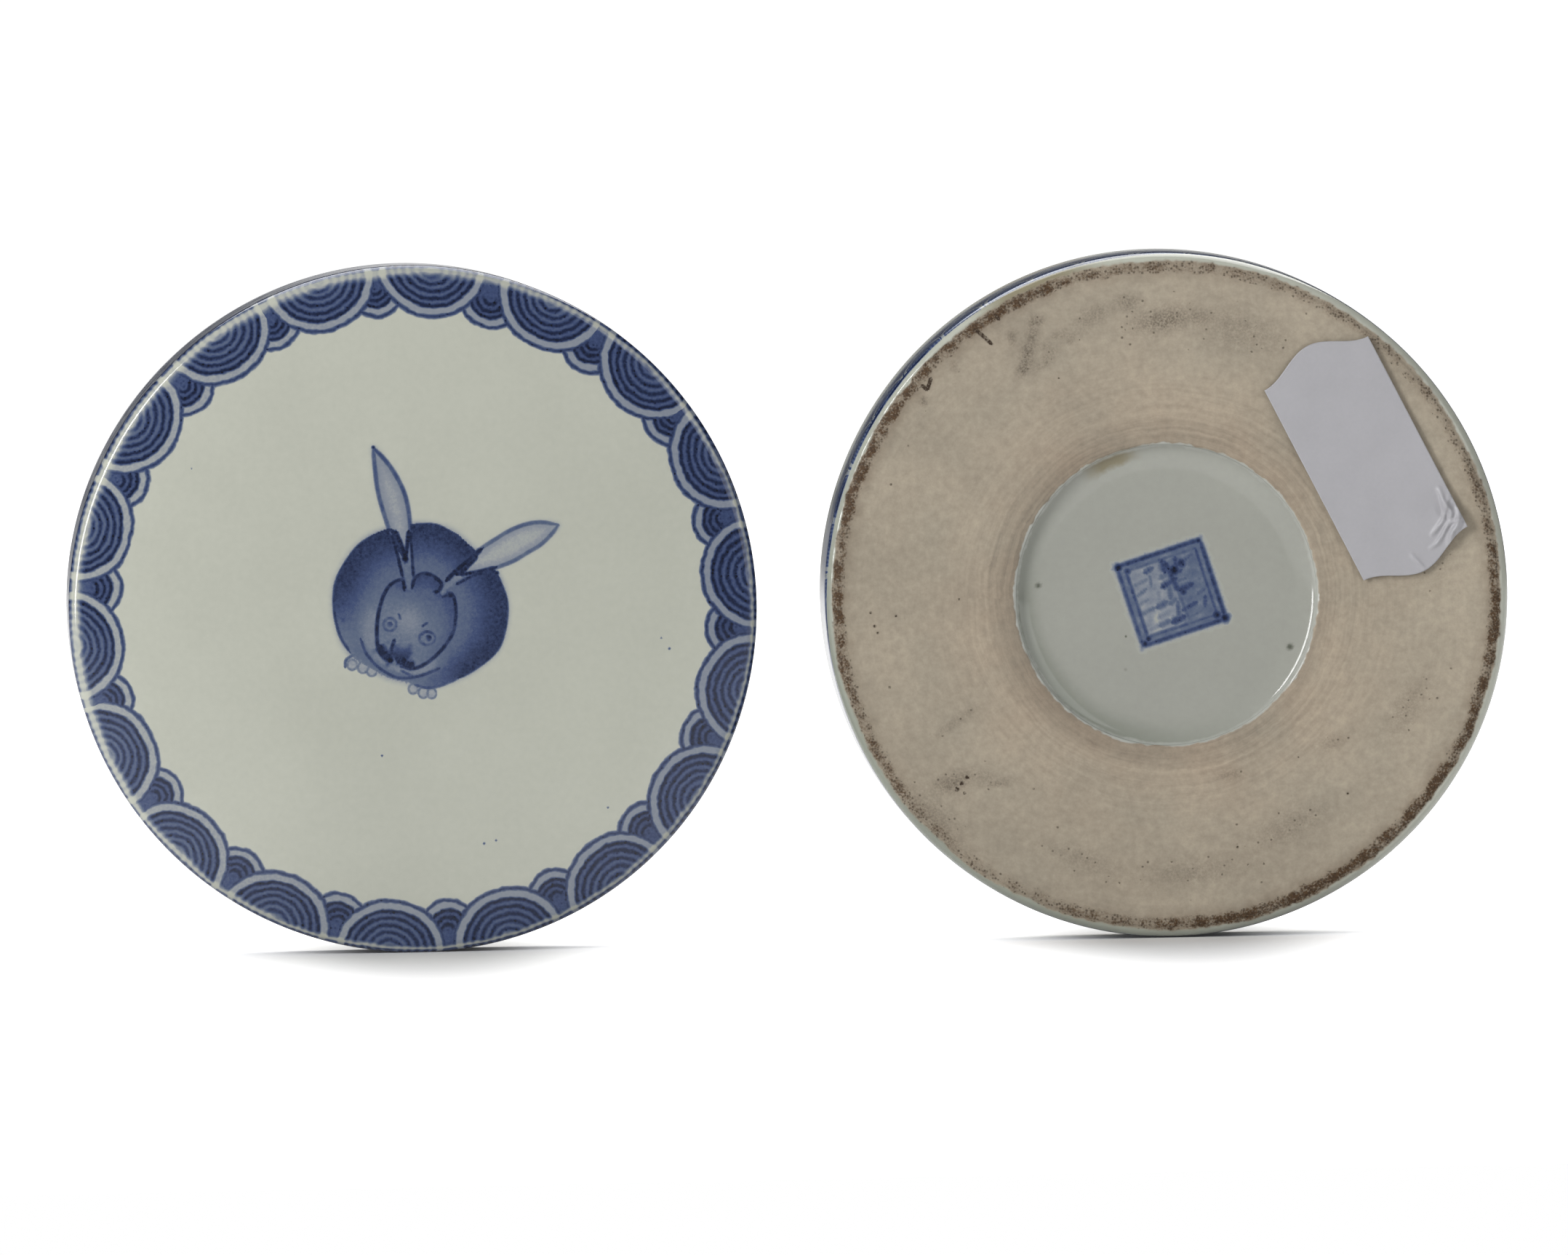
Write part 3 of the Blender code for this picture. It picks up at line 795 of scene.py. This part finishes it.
def painted_glaze(finishes, sizes):
    """Blue-and-white porcelain, brush-painted in cobalt and glazed: glossy, with soft-edged blue below."""
    material, put = new_material("blue_and_white_porcelain")
    place, radius, angle, height = disc_place(put)
    across = put("SeparateXYZ", place).outputs["X"]
    common = {"rim": sizes.radius / MM, "arris": sizes.height / MM - 0.5}
    scale = sizes.wave / MM / LID_WAVES[-1]["radius"]
    rows = [dict(row, radius=row["radius"] * scale, core=row["core"] * scale, **common) for row in LID_WAVES]
    border = stack_rows(put, radius, angle, height, rows)

    # The colour thins over the arris, and is painted paler over a wider band towards the upper left as a
    # painted highlight
    below = put("Math MAXIMUM", put("Math SUBTRACT", common["arris"], height), 0.0)
    inward = put("Math SUBTRACT", common["rim"], radius)
    surface = put("Math SUBTRACT", inward, below)
    to_arris = put("Math ABSOLUTE", put("Math SUBTRACT", surface, 0.35))
    to_arris = put("Math MULTIPLY", to_arris, put("MapRange", toward(put, angle, -2.5), -0.6, 0.7, 2.3, 1.0))
    thin = put("MapRange SMOOTHSTEP", to_arris, 0.2, 1.1, 0.15, 1.0)
    border = put("Math MULTIPLY", border, thin)

    # Painted light: the blue painted darker towards the right and the glaze painted lighter towards the left,
    # as the light falls from the left
    strong = put("MapRange", across, -30.0, 30.0, 1.05, 0.82)
    border = put("Math POWER", border, strong)
    brush = put("Attribute", attribute_name="cobalt").outputs["Fac"]
    cobalt = put("Math MAXIMUM", border, brush)
    # Painted light: the glaze lighter towards the left
    glaze_lit_left = put("MapRange", across, -30.0, 0.0, 1.07, 0.965)
    glaze = put("VectorMath SCALE", {0: glaze_tone(put, place, finishes.glaze), "Scale": glaze_lit_left})
    spotted = put("MapRange", radius, 18.0, 26.0, 0.3, 1.0)
    tint = cobalt_under_glaze(put, place, cobalt, finishes, glaze, spotted)
    shade_surface(put, Base_Color=tint, Roughness=0.10, IOR=1.5, Normal=glaze_ripple(put, place))
    return material


def clear_glaze(finishes):
    """Plain glazed porcelain inside the box: glossy grey-green white with no painting."""
    material, put = new_material("clear_glazed_porcelain")
    place = disc_place(put)[0]
    shade_surface(put, Base_Color=glaze_tone(put, place, finishes.glaze), Roughness=0.12, IOR=1.5,
                  Normal=glaze_ripple(put, place))
    return material


def biscuit(finishes):
    """Unglazed porcelain of the rims that touch, wiped clean: matt, slightly sandy and a little stained."""
    material, put = new_material("bare_biscuit_porcelain")
    place = disc_place(put)[0]
    cloud = put("TexNoise", {"Vector": place, "Scale": 0.3, "Detail": 4.0})
    sand = put("TexNoise", {"Vector": place, "Scale": 5.0, "Detail": 2.0})
    shade = put("MapRange", cloud, 0.3, 0.7, 0.92, 1.1)
    tint = put("VectorMath SCALE", {0: tuple(finishes.bare_clay)[:3], "Scale": shade})
    shade_surface(put, Base_Color=tint, Roughness=0.78, IOR=1.5,
                  Normal=put("Bump", {"Height": sand, "Strength": 0.5, "Distance": 0.02 * MM}))
    return material


# Tints that only the base has
STAIN = linear("#7E7250")
# Painted shade at the recess's edge, greener where glaze also pools
RECESS_SHADE_GREEN = linear("#6A7264")
DARK_SPECK = linear("#3E4234")
# Painted highlight along the recess lip, where the glaze is also thin
LIP_HIGHLIGHT_THIN_GLAZE = linear("#C9CBC5")
WARM_CLAY = linear("#A5917C")
DIRTY_HAZE = linear("#4E371D")


def glazed_wall_bare_foot(finishes, sizes):
    """Porcelain base: glossy painted wall and recess, and the matt bare foot between them, soiled by use."""
    material, put = new_material("glazed_porcelain_with_bare_foot")
    place, radius, angle, height = disc_place(put)
    across = put("SeparateXYZ", place).outputs["X"]
    rim, top, recess = sizes.radius / MM, sizes.height / MM, sizes.recess / MM
    common = {"rim": rim, "arris": top - 0.78}

    # Painted wall, plain near the seat
    border = stack_rows(put, radius, angle, height, [dict(row, **common) for row in BASE_WAVES])
    painted = put("Math ADD", height, put("MapRange", toward(put, angle, -2.4), 0.5, 0.8, 0.6, 0.0))
    on_wall = put("MapRange", painted, top - 0.62, top - 0.84, 0.0, 1.0)
    along = put("CombineXYZ", put("Math MULTIPLY", angle, 7.0), put("Math MULTIPLY", height, 0.5), 0.0)
    dash = put("TexNoise", {"Vector": along, "Scale": 1.0, "Detail": 1.0})
    dash = put("MapRange SMOOTHSTEP", dash, 0.44, 0.56, 0.0, 0.85)
    junction = near(put, height, top - 0.95, 0.15, 0.45)
    border = put("Math MAXIMUM", border, put("Math MULTIPLY", dash, junction))
    border = put("Math MULTIPLY", border, on_wall)
    low = put("MapRange", height, 5.0, 6.0, 0.0, 1.0)
    at_rim = put("Math GREATER_THAN", radius, rim - 3.0)
    border = put("Math MULTIPLY", border, put("Math MULTIPLY", low, at_rim))
    brush = put("Attribute", attribute_name="cobalt").outputs["Fac"]
    cobalt = put("Math MAXIMUM", border, brush)

    # Glaze of the wall and of the recess, with a stain, painted shade at the recess's left edge that also
    # stands for pooled glaze, specks and a painted highlight on the thin-glazed lip
    ragged = put("TexNoise", {"Vector": place, "Scale": 0.8, "Detail": 3.0})
    edge = put("Math MULTIPLY_ADD", ragged, 0.45, radius)
    within = put("Math LESS_THAN", radius, rim - 3.0)
    stain = near(put, angle, 1.95, 0.06, 0.26, 0.75, "SMOOTHSTEP")
    stain = put("Math MULTIPLY", stain,
                put("MapRange", put("Math MULTIPLY_ADD", ragged, 1.6, radius), 14.5, 15.3, 0.0, 1.0))
    # Painted shade: darker green round the left and lower-left edge of the recess, also standing for glaze
    # pooled there
    pooled = put("MapRange", toward(put, angle, 2.5), 0.0, 1.0, 0.0, 0.5)
    pooled = put("Math MULTIPLY", pooled,
                 put("MapRange SMOOTHSTEP", radius, recess - 2.8, recess - 0.4, 0.0, 1.0))
    rubbed = put("Attribute", attribute_name="soil").outputs["Fac"]
    # Painted highlight along the lip, stronger to the left, where the glaze is also thinner
    lip = near(put, radius, recess + 0.1, 0.12, 0.42)
    lip = put("Math MULTIPLY", lip, put("MapRange", across, -5.0, 6.0, 0.65, 0.4))
    in_foot = (within, glaze_tone(put, place, finishes.foot_glaze))
    plain = lay_over(put, glaze_tone(put, place, finishes.glaze), in_foot, (stain, STAIN),
                     (pooled, RECESS_SHADE_GREEN), (rubbed, DARK_SPECK), (lip, LIP_HIGHLIGHT_THIN_GLAZE))
    glaze = cobalt_under_glaze(put, place, cobalt, finishes, plain)
    outside = put("MapRange SMOOTHSTEP", edge, rim - 0.75, rim - 0.45, 0.0, 1.0)
    middle = put("MapRange SMOOTHSTEP", edge, recess + 0.3, recess + 0.5, 1.0, 0.0)
    glazed = put("Math MAXIMUM", outside, middle)

    # Bare clay with clouds, grains and turning rings
    cloud = put("TexNoise", {"Vector": place, "Scale": 0.11, "Detail": 5.0, "Roughness": 0.6})
    grain = put("TexNoise", {"Vector": place, "Scale": 1.1, "Detail": 4.0, "Roughness": 0.7})
    spun = put("CombineXYZ", put("Math MULTIPLY", radius, 2.4), put("Math MULTIPLY", angle, 0.9), 0.0)
    turning = put("TexNoise", {"Vector": spun, "Scale": 1.0, "Detail": 3.0})
    shade = put("MapRange", cloud, 0.3, 0.7, 0.9, 1.1)
    shade = put("Math MULTIPLY", shade, put("MapRange", grain, 0.3, 0.7, 0.87, 1.13))
    ringed = put("MapRange", radius, 15.5, 24.0, 0.85, 0.1)
    shade = put("Math MULTIPLY_ADD", put("Math SUBTRACT", turning, 0.5), ringed, shade)
    left = put("MapRange", across, -12.0, 12.0, 0.7, 0.89)
    worn = put("MapRange SMOOTHSTEP", radius, recess, 19.5, 0.0, 1.0)
    shade = put("Math MULTIPLY", shade, put("Mix FLOAT", {0: worn, 2: left, 3: 1.0}))
    # Painted light: the bare clay painted a little lighter towards the right
    shade = put("Math MULTIPLY", shade, put("MapRange", across, -10.0, 30.0, 0.965, 1.04))
    warm = put("Math MULTIPLY", put("MapRange", cloud.outputs["Color"], 0.3, 0.7, 0.1, 0.7),
               put("MapRange", radius, 16.0, 26.0, 1.0, 0.35))
    clay = lay_over(put, tuple(finishes.bare_clay), (warm, WARM_CLAY))
    clay = put("VectorMath SCALE", {0: clay, "Scale": shade})

    # Dirt along the edge of the glaze, stronger at the upper left and the lower right
    pores = put("TexNoise", {"Vector": place, "Scale": 4.5, "Detail": 3.0, "Roughness": 0.7})
    upper_left = put("MapRange", toward(put, angle, -2.62), 0.2, 1.0, 0.0, 0.75)
    lower_right = put("MapRange", toward(put, angle, 0.75), 0.35, 0.95, 0.0, 0.75)
    strong = put("Math ADD", put("Math ADD", upper_left, lower_right), 0.42)
    patch = put("TexNoise", {"Vector": place, "Scale": 0.6, "Detail": 2.0})
    strong = put("Math MULTIPLY", strong, put("MapRange", patch, 0.35, 0.62, 0.5, 1.3))
    ring_line = rim - 1.2
    band = near(put, edge, ring_line, 0.15, 0.85, 1.0, "SMOOTHSTEP")
    density = put("Math MAXIMUM", put("Math MULTIPLY", band, strong), put("Math MULTIPLY", rubbed, 0.3))
    grains = put("TexVoronoi", {"Vector": place, "Scale": 3.7, "Randomness": 1.0})
    settled = put("Math LESS_THAN", put("SeparateColor", grains.outputs["Color"]), density)
    grains = put("Math MULTIPLY", put("MapRange SMOOTHSTEP", grains, 0.18, 0.75, 0.7, 0.0), settled)
    broken = put("Math MULTIPLY_ADD", pores, 0.6, put("Math MULTIPLY", grain, 0.4))
    broken = put("MapRange", broken, 0.41, 0.59, 0.35, 1.3)
    haze = put("Math MULTIPLY", near(put, edge, ring_line, 0.05, 1.15, 1.0, "SMOOTHSTEP"), broken)
    spread = put("MapRange SMOOTHSTEP", edge, rim - 3.4, rim - 1.3, 0.0, 0.3)
    haze = put("Math MULTIPLY", put("Math MAXIMUM", haze, spread), strong, use_clamp=True)
    smudge = put("Math MULTIPLY", rubbed, put("MapRange", pores, 0.38, 0.62, 0.5, 1.9))
    soil = put("Math MAXIMUM", grains, smudge, use_clamp=True)
    tint = lay_over(put, clay, (haze, DIRTY_HAZE), (soil, tuple(finishes.soil)), (glazed, glaze))

    rough = put("MapRange", glazed, 0.0, 1.0, 0.72, 0.1)
    grit = put("Math MULTIPLY", put("Math MULTIPLY_ADD", pores, 0.35, turning),
               put("MapRange", glazed, 0.0, 1.0, 1.0, 0.05))
    shade_surface(put, Base_Color=tint, Roughness=rough, IOR=1.5,
                  Normal=put("Bump", {"Height": grit, "Strength": 0.5, "Distance": 0.05 * MM}))
    return material


def dress(piece, outside, finishes):
    """Gives a disc its materials in the order of the zones."""
    for material in (outside, biscuit(finishes), clear_glaze(finishes)):
        piece.data.materials.append(material)


def label_paper(finishes):
    """Coated thermal label paper: smooth, satin, a cool pale grey with faint fibres."""
    material, put = new_material("coated_label_paper")
    place = disc_place(put)[0]
    fibre = put("TexNoise", {"Vector": place, "Scale": 3.0, "Detail": 4.0})
    cloud = put("TexNoise", {"Vector": place, "Scale": 0.25, "Detail": 2.0})
    shade = put("Math MULTIPLY_ADD", fibre, 0.4, put("Math MULTIPLY", cloud, 0.6))
    shade = put("MapRange", shade, 0.35, 0.65, 0.97, 1.03)
    tint = put("VectorMath SCALE", {0: tuple(finishes.paper)[:3], "Scale": shade})
    shade_surface(put, Base_Color=tint, Roughness=0.42, IOR=1.5,
                  Normal=put("Bump", {"Height": fibre, "Strength": 0.3, "Distance": 0.01 * MM}))
    return material


# Level of the painted floor glow to the eye in the middle of the shadows
FLOOR_GLOW = 0.02
# How far the sheet of paper reaches in front of the box, in metres
FLOOR_FRONT = 0.62


def studio_paper():
    """Matt white background paper with a painted glow to the eye: plain white, fading near the two discs so
    that the lamps' soft shadows show only there, in a patch shaped by the glow.

    Reflections see a fifth of that white.
    """
    material, put = new_material("white_background_paper")
    paths = put("LightPath")
    mirrored = put("Math MULTIPLY", paths.outputs["Is Glossy Ray"], 0.2)
    seen = put("Math MAXIMUM", paths.outputs["Is Camera Ray"], mirrored)
    seen = put("Math MAXIMUM", seen, paths.outputs["Is Transmission Ray"])
    x, y, _ = put("SeparateXYZ", put("TexCoord").outputs["Object"]).outputs
    # Painted light: the glow fades towards the discs, seven times sooner to the sides and three times sooner
    # behind, which shapes where the shadows show
    aside = put("Math MULTIPLY_ADD", put("Math ABSOLUTE", x), 7.0, -7.0 * BASE_CENTRE.x)
    ahead = put("Math MAXIMUM", put("Math MULTIPLY", y, 3.0), put("Math MULTIPLY", y, -1.0))
    far = put("VectorMath LENGTH", put("CombineXYZ", aside, ahead, 0.0)).outputs["Value"]
    level = put("MapRange SMOOTHSTEP", far, 0.03, 0.19, FLOOR_GLOW, 1.0)
    glow = put("Emission", {"Color": (1.0, 1.0, 1.0, 1.0), "Strength": put("Math MULTIPLY", seen, level)})
    matt = put("BsdfDiffuse", {"Color": linear("#E8E8E8")})
    put("OutputMaterial", {"Surface": put("AddShader", glow, matt)})
    return material


# Operators, one for each piece

class MakeLid(bpy.types.Operator):
    """Builds the painted lid, standing on edge with its top to the front"""

    bl_idname = "porcelain.make_lid"
    bl_label = "Painted lid"

    def execute(self, context):
        settings = context.scene.porcelain_box
        s = settings.lid
        flat, fall, chamfer, fillet = 29.0 * MM, 0.3 * MM, 0.3 * MM, 3.0 * MM
        bore, ceiling, glaze_start = s.radius - s.wall, s.height - s.top, 1.2 * MM
        bm = bmesh.new()
        lines = rabbit_lines() + dashes(LID_SPECKS)
        brushed_face(bm, 0.0, flat, s.height, points_near(lines, flat / MM, 0.12, 0.4, 1.3), OUTSIDE)
        crown = [(r, s.height - fall * ((r - flat) / (s.radius - s.edge - flat)) ** 2)
                 for r in np.linspace(flat, s.radius - s.edge, 9)]
        outer = crown + arc(s.radius - s.edge, s.height - fall - s.edge, s.edge, 90, 0, 10)[1:]
        outer += even(outer[-1], (s.radius, chamfer), 8)[1:]
        turn_profile(bm, outer, OUTSIDE)
        rim = rim_corner(s.radius, chamfer) + [(bore + chamfer, 0.0), (bore, chamfer), (bore, glaze_start)]
        turn_profile(bm, rim, RIM)
        turn_profile(bm, hollow(bore, glaze_start, ceiling, fillet, 4), HOLLOW)
        lid, places = finish_disc(bm, "lid_porcelain", LID_CENTRE, hand_turned((0.4, 2.1, 4.0), 0.25))
        margin, painted_out = 0.1, 29.5
        radii = np.hypot(places[:, 0], places[:, 1])
        on_top = (places[:, 2] > s.height / MM - margin) & (radii < painted_out)
        cobalt = np.zeros(len(places))
        cobalt[on_top] = paint_rabbit(places[on_top, :2])
        set_amount(lid.data, "cobalt", cobalt)
        dress(lid, painted_glaze(settings.finishes, s), settings.finishes)
        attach(lid, "lid_body")
        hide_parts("lid")
        return {"FINISHED"}


class MakeBase(bpy.types.Operator):
    """Builds the base, standing on edge with its foot to the front"""

    bl_idname = "porcelain.make_base"
    bl_label = "Base with bare foot"

    def execute(self, context):
        settings = context.scene.porcelain_box
        s = settings.base
        foot_edge, chamfer, fillet, recess_fillet = 0.9 * MM, 0.3 * MM, 4.0 * MM, 0.8 * MM
        bevel_width, bevel_height, lip = 0.3 * MM, 0.2 * MM, 0.35 * MM
        flange_radius, flange_taper, flange_bore = s.radius - 3.3 * MM, 0.3 * MM, s.radius - 5.1 * MM
        floor, top, low = s.height - 4.2 * MM, s.height - s.recess_depth, -s.flange
        glaze_start = low + 1.0 * MM
        bm = bmesh.new()
        seal = [line for _, _, line in seal_lines(s.seal)] + dashes(RECESS_SPECKS)
        draw_in, stretch = 0.1 * MM, 3.4
        foot_radius = s.radius - draw_in
        recess_flat, foot_outer = s.recess - stretch * recess_fillet, foot_radius - foot_edge - bevel_width
        brushed_face(bm, 0.0, recess_flat, top, points_near(seal, recess_flat / MM, 0.11, 0.4, 1.2), OUTSIDE)
        slope = arc(0.0, top + recess_fillet, recess_fillet, -90, 0, 18)
        slope = [(s.recess - stretch * (recess_fillet - r), h) for r, h in slope]
        slope += arc(s.recess + lip, s.height - lip, lip, 180, 90, 5)
        turn_profile(bm, slope, OUTSIDE)
        scratches = [smooth_line(line) for line in FOOT_SCRATCHES] + dashes(FOOT_GRAINS)
        marked = points_near(scratches, s.radius / MM, 0.09, 0.4, 0.6)
        brushed_face(bm, s.recess + lip, foot_outer, s.height, marked, OUTSIDE)
        shoulder = even((foot_outer, s.height), (foot_radius - foot_edge, s.height - bevel_height), 4)
        rolled = arc(foot_radius - foot_edge, -foot_edge, foot_edge, 90, 4, 10)[1:]
        shoulder += [(r, s.height - bevel_height + 1.8 * h) for r, h in rolled]
        wall_top = shoulder[-1][1]
        shoulder += [(s.radius - draw_in * ((h - chamfer) / (wall_top - chamfer)) ** 2.4, h)
                     for h in np.linspace(wall_top, chamfer, 18)[1:]]
        turn_profile(bm, shoulder, OUTSIDE)
        seat = rim_corner(s.radius, chamfer) + [(flange_radius, 0.0)]
        seat += [(flange_radius - flange_taper, low + chamfer), (flange_radius - flange_taper - chamfer, low),
                 (flange_bore + chamfer, low), (flange_bore, low + chamfer), (flange_bore, glaze_start)]
        turn_profile(bm, seat, RIM)
        turn_profile(bm, hollow(flange_bore, glaze_start, floor, fillet, 5), HOLLOW)
        base, places = finish_disc(bm, "base_porcelain", BASE_CENTRE, hand_turned((1.9, 0.6, 2.8), 0.1))
        radii = np.hypot(places[:, 0], places[:, 1])
        cobalt, soil = np.zeros(len(places)), np.zeros(len(places))
        margin, recess_out, foot_in, foot_low = 0.1, 14.5, 14.6, 1.0
        in_recess = (radii < recess_out) & (places[:, 2] > top / MM - margin)
        cobalt[in_recess] = paint_seal(places[in_recess, :2], s.seal)
        specks = soil[in_recess]
        for speck in RECESS_SPECKS:
            draw_dot(specks, places[in_recess, :2], *speck)
        soil[in_recess] = specks
        on_foot = (radii > foot_in) & (places[:, 2] > s.height / MM - foot_low)
        soil[on_foot] = soil_foot(places[on_foot, :2])
        set_amount(base.data, "cobalt", cobalt)
        set_amount(base.data, "soil", soil)
        dress(base, glazed_wall_bare_foot(settings.finishes, s), settings.finishes)
        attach(base, "base_body")
        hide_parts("base")
        return {"FINISHED"}


# Middle of the label on the disc, and its turn
LABEL_PLACE = Vector((20.7 * MM, 13.6 * MM, BASE_HEIGHT))
LABEL_TURN = math.radians(26.5)
# Creases in the label's loose corner: rise, width and line, in mm on the label, x across and y along
LABEL_CREASES = [
    (0.50, 0.26, [(5.2, -6.3), (5.0, -7.8), (5.1, -9.0), (3.7, -10.2)]),
    (0.52, 0.28, [(6.0, -8.9), (5.2, -10.3), (4.2, -10.9), (3.3, -12.2)]),
    (0.38, 0.22, [(5.7, -7.4), (4.6, -8.6), (4.0, -9.3), (2.4, -10.0)]),
    (0.34, 0.20, [(5.9, -10.0), (4.4, -9.9), (2.6, -11.0), (1.6, -11.2)]),
    (0.26, 0.20, [(-0.4, -10.9), (0.1, -12.9)]),
    (-0.26, 0.30, [(4.6, -6.6), (4.3, -8.2), (4.5, -9.6), (3.0, -10.4)]),
]


class MakeLabel(bpy.types.Operator):
    """Builds the blank paper label on the foot, with its wavy ends and its loose, creased corner"""

    bl_idname = "porcelain.make_label"
    bl_label = "Paper label"

    def execute(self, context):
        settings = context.scene.porcelain_box
        s = settings.label
        columns, rows = 84, 170
        half_width, half_side, bulge, lift = (size / MM for size in (s.width / 2, s.side / 2, s.bulge, s.lift))
        across, along = np.meshgrid(np.linspace(-1, 1, columns + 1), np.linspace(-1, 1, rows + 1))
        x = (across * half_width).ravel()
        y = (along * (half_side + bulge * np.cos(math.pi * across / 2) ** 2)).ravel()
        spots = np.column_stack((x, y))
        ripple = 0.03 * np.sin(0.9 * x + 0.3) * np.sin(0.55 * y) + 0.03
        corner = step(4.6, 0.0, np.hypot(x - half_width - 0.6, (y + half_side) * 0.8))
        rise = ripple + lift * corner
        for size, width, line in LABEL_CREASES:
            away, share = distance_to(spots, smooth_line(line))
            rise = rise + size * np.exp(-((away / width) ** 2)) * (0.4 + 0.6 * np.sin(math.pi * share))
        rise = np.maximum(rise, 0.0)
        under, thickness = 0.3, 0.18
        bm = bmesh.new()
        sheets = []
        for level in (under, under + thickness):
            corners = zip(x, y, rise)
            sheets.append([bm.verts.new((px * MM, py * MM, (level + up) * MM)) for px, py, up in corners])
        wide = columns + 1
        for j in range(rows):
            for i in range(columns):
                a = j * wide + i
                quad = (a, a + 1, a + wide + 1, a + wide)
                bm.faces.new([sheets[1][k] for k in quad])
                bm.faces.new([sheets[0][k] for k in reversed(quad)])
        bottom, top = list(range(wide)), [rows * wide + i for i in range(wide)]
        right, left = [j * wide + columns for j in range(rows + 1)], [j * wide for j in range(rows + 1)]
        for edge in (bottom, right, top[::-1], left[::-1]):
            for a, b in zip(edge, edge[1:]):
                bm.faces.new((sheets[0][a], sheets[0][b], sheets[1][b], sheets[1][a]))
        bmesh.ops.recalc_face_normals(bm, faces=bm.faces[:])
        label = link_mesh(bm, "label_sheet")
        on_foot = Matrix.Translation(LABEL_PLACE) @ Matrix.Rotation(LABEL_TURN, 4, "Z")
        label.matrix_world = facing_front(BASE_CENTRE) @ on_foot
        label.data.materials.append(label_paper(settings.finishes))
        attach(label, "base_body")
        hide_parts("paper_label")
        return {"FINISHED"}


# Levels of the air in front of the box and behind it
WORLD_FRONT = 0.20
WORLD_BACK = 0.03
# Level of the white sheet straight behind the box, as the glaze mirrors it
BACKDROP = 0.85
# Name, place, aim, width and height in metres, and power in watts
LAMPS = [
    ("key_lamp", (-1.15, -0.95, 0.5), (0.0, 0.0, 0.03), (0.35, 1.1), 17.8),
    ("fill_lamp", (1.2, -1.2, 0.6), (0.0, 0.0, 0.03), (1.5, 1.2), 8.0),
    ("back_lamp", (0.0, 0.72, 1.1), (0.0, 0.0, 0.0), (1.1, 1.3), 15.0),
]
# Where the camera stands, turns in degrees and lengths in metres, and its lens in mm
CAMERA_AZIMUTH = 1.7
CAMERA_ELEVATION = 1.7
CAMERA_ROLL = -1.1
CAMERA_DISTANCE = 6.0
CAMERA_LENS = 1344.0
CAMERA_TARGET = (-0.00066, -0.0078, 0.0326)


class MakeStudio(bpy.types.Operator):
    """Sets the white floor, the soft lamps and the camera"""

    bl_idname = "porcelain.make_studio"
    bl_label = "Studio"

    def execute(self, context):
        scene = context.scene
        bm = bmesh.new()
        reach = 40.0
        bmesh.ops.create_grid(bm, x_segments=8, y_segments=8, size=reach)
        bmesh.ops.translate(bm, verts=bm.verts[:], vec=(0.0, reach - FLOOR_FRONT, 0.0))
        floor = link_mesh(bm, "floor")
        floor.data.materials.append(studio_paper())

        world = bpy.data.worlds.new("studio_air")
        scene.world = world
        world.use_nodes = True
        world.node_tree.nodes.clear()
        put = partial(add, world.node_tree)
        direction = put("SeparateXYZ", put("TexCoord").outputs["Generated"])
        behind = put("MapRange SMOOTHSTEP", direction.outputs["Y"], -0.5, 0.6, WORLD_FRONT, WORLD_BACK)
        backdrop = put("MapRange", direction.outputs["Y"], 0.9978, 0.9993, 0.0, BACKDROP)
        behind = put("Math MAXIMUM", behind, backdrop)
        level = put("Math MAXIMUM", put("LightPath").outputs["Is Camera Ray"], behind)
        put("OutputWorld", {"Surface": put("Background", {"Color": (1.0, 1.0, 1.0, 1.0), "Strength": level})})

        for name, place, aim, size, power in LAMPS:
            light = bpy.data.lights.new(name, "AREA")
            light.shape = "RECTANGLE"
            light.size, light.size_y = size
            light.energy = power
            lamp = link_object(name, light)
            lamp.location = place
            lamp.rotation_euler = (Vector(aim) - Vector(place)).to_track_quat("-Z", "Y").to_euler()

        azimuth, elevation = math.radians(CAMERA_AZIMUTH), math.radians(CAMERA_ELEVATION)
        forward = Vector((math.sin(azimuth) * math.cos(elevation), math.cos(azimuth) * math.cos(elevation),
                          -math.sin(elevation)))
        lens = bpy.data.cameras.new("camera")
        lens.sensor_width = 36.0
        lens.lens = CAMERA_LENS
        lens.clip_end = 100.0
        camera = link_object("camera", lens)
        roll = Matrix.Rotation(math.radians(CAMERA_ROLL), 4, "Z")
        turn = forward.to_track_quat("-Z", "Y").to_matrix().to_4x4()
        place = Matrix.Translation(Vector(CAMERA_TARGET) - forward * CAMERA_DISTANCE)
        camera.matrix_world = place @ turn @ roll
        scene.camera = camera
        scene.view_settings.view_transform = "Standard"
        return {"FINISHED"}


class PorcelainPanel(bpy.types.Panel):
    """Lists the pieces of the box"""

    bl_idname = "VIEW3D_PT_porcelain_box"
    bl_label = "Porcelain box"
    bl_space_type = "VIEW_3D"
    bl_region_type = "UI"
    bl_category = "Porcelain box"

    def draw(self, context):
        settings = context.scene.porcelain_box
        for operator, group in ((MakeLid, settings.lid), (MakeBase, settings.base), (MakeLabel, settings.label),
                                (MakeStudio, settings.finishes)):
            box = self.layout.box()
            box.operator(operator.bl_idname)
            for name in group.bl_rna.properties.keys():
                if name not in ("rna_type", "name"):
                    box.prop(group, name)


CLASSES = (LidSizes, BaseSizes, LabelSizes, Finishes, PorcelainBox, MakeLid, MakeBase, MakeLabel, MakeStudio,
           PorcelainPanel)


def register():
    """Adds the classes and the settings to Blender."""
    for item in CLASSES:
        bpy.utils.register_class(item)
    bpy.types.Scene.porcelain_box = bpy.props.PointerProperty(type=PorcelainBox)


def unregister():
    """Takes the classes and the settings out again."""
    del bpy.types.Scene.porcelain_box
    for item in reversed(CLASSES):
        bpy.utils.unregister_class(item)


def main():
    """Builds every piece and the studio."""
    register()
    bpy.ops.porcelain.make_studio()
    bpy.ops.porcelain.make_lid()
    bpy.ops.porcelain.make_base()
    bpy.ops.porcelain.make_label()


if __name__ == "__main__":
    main()
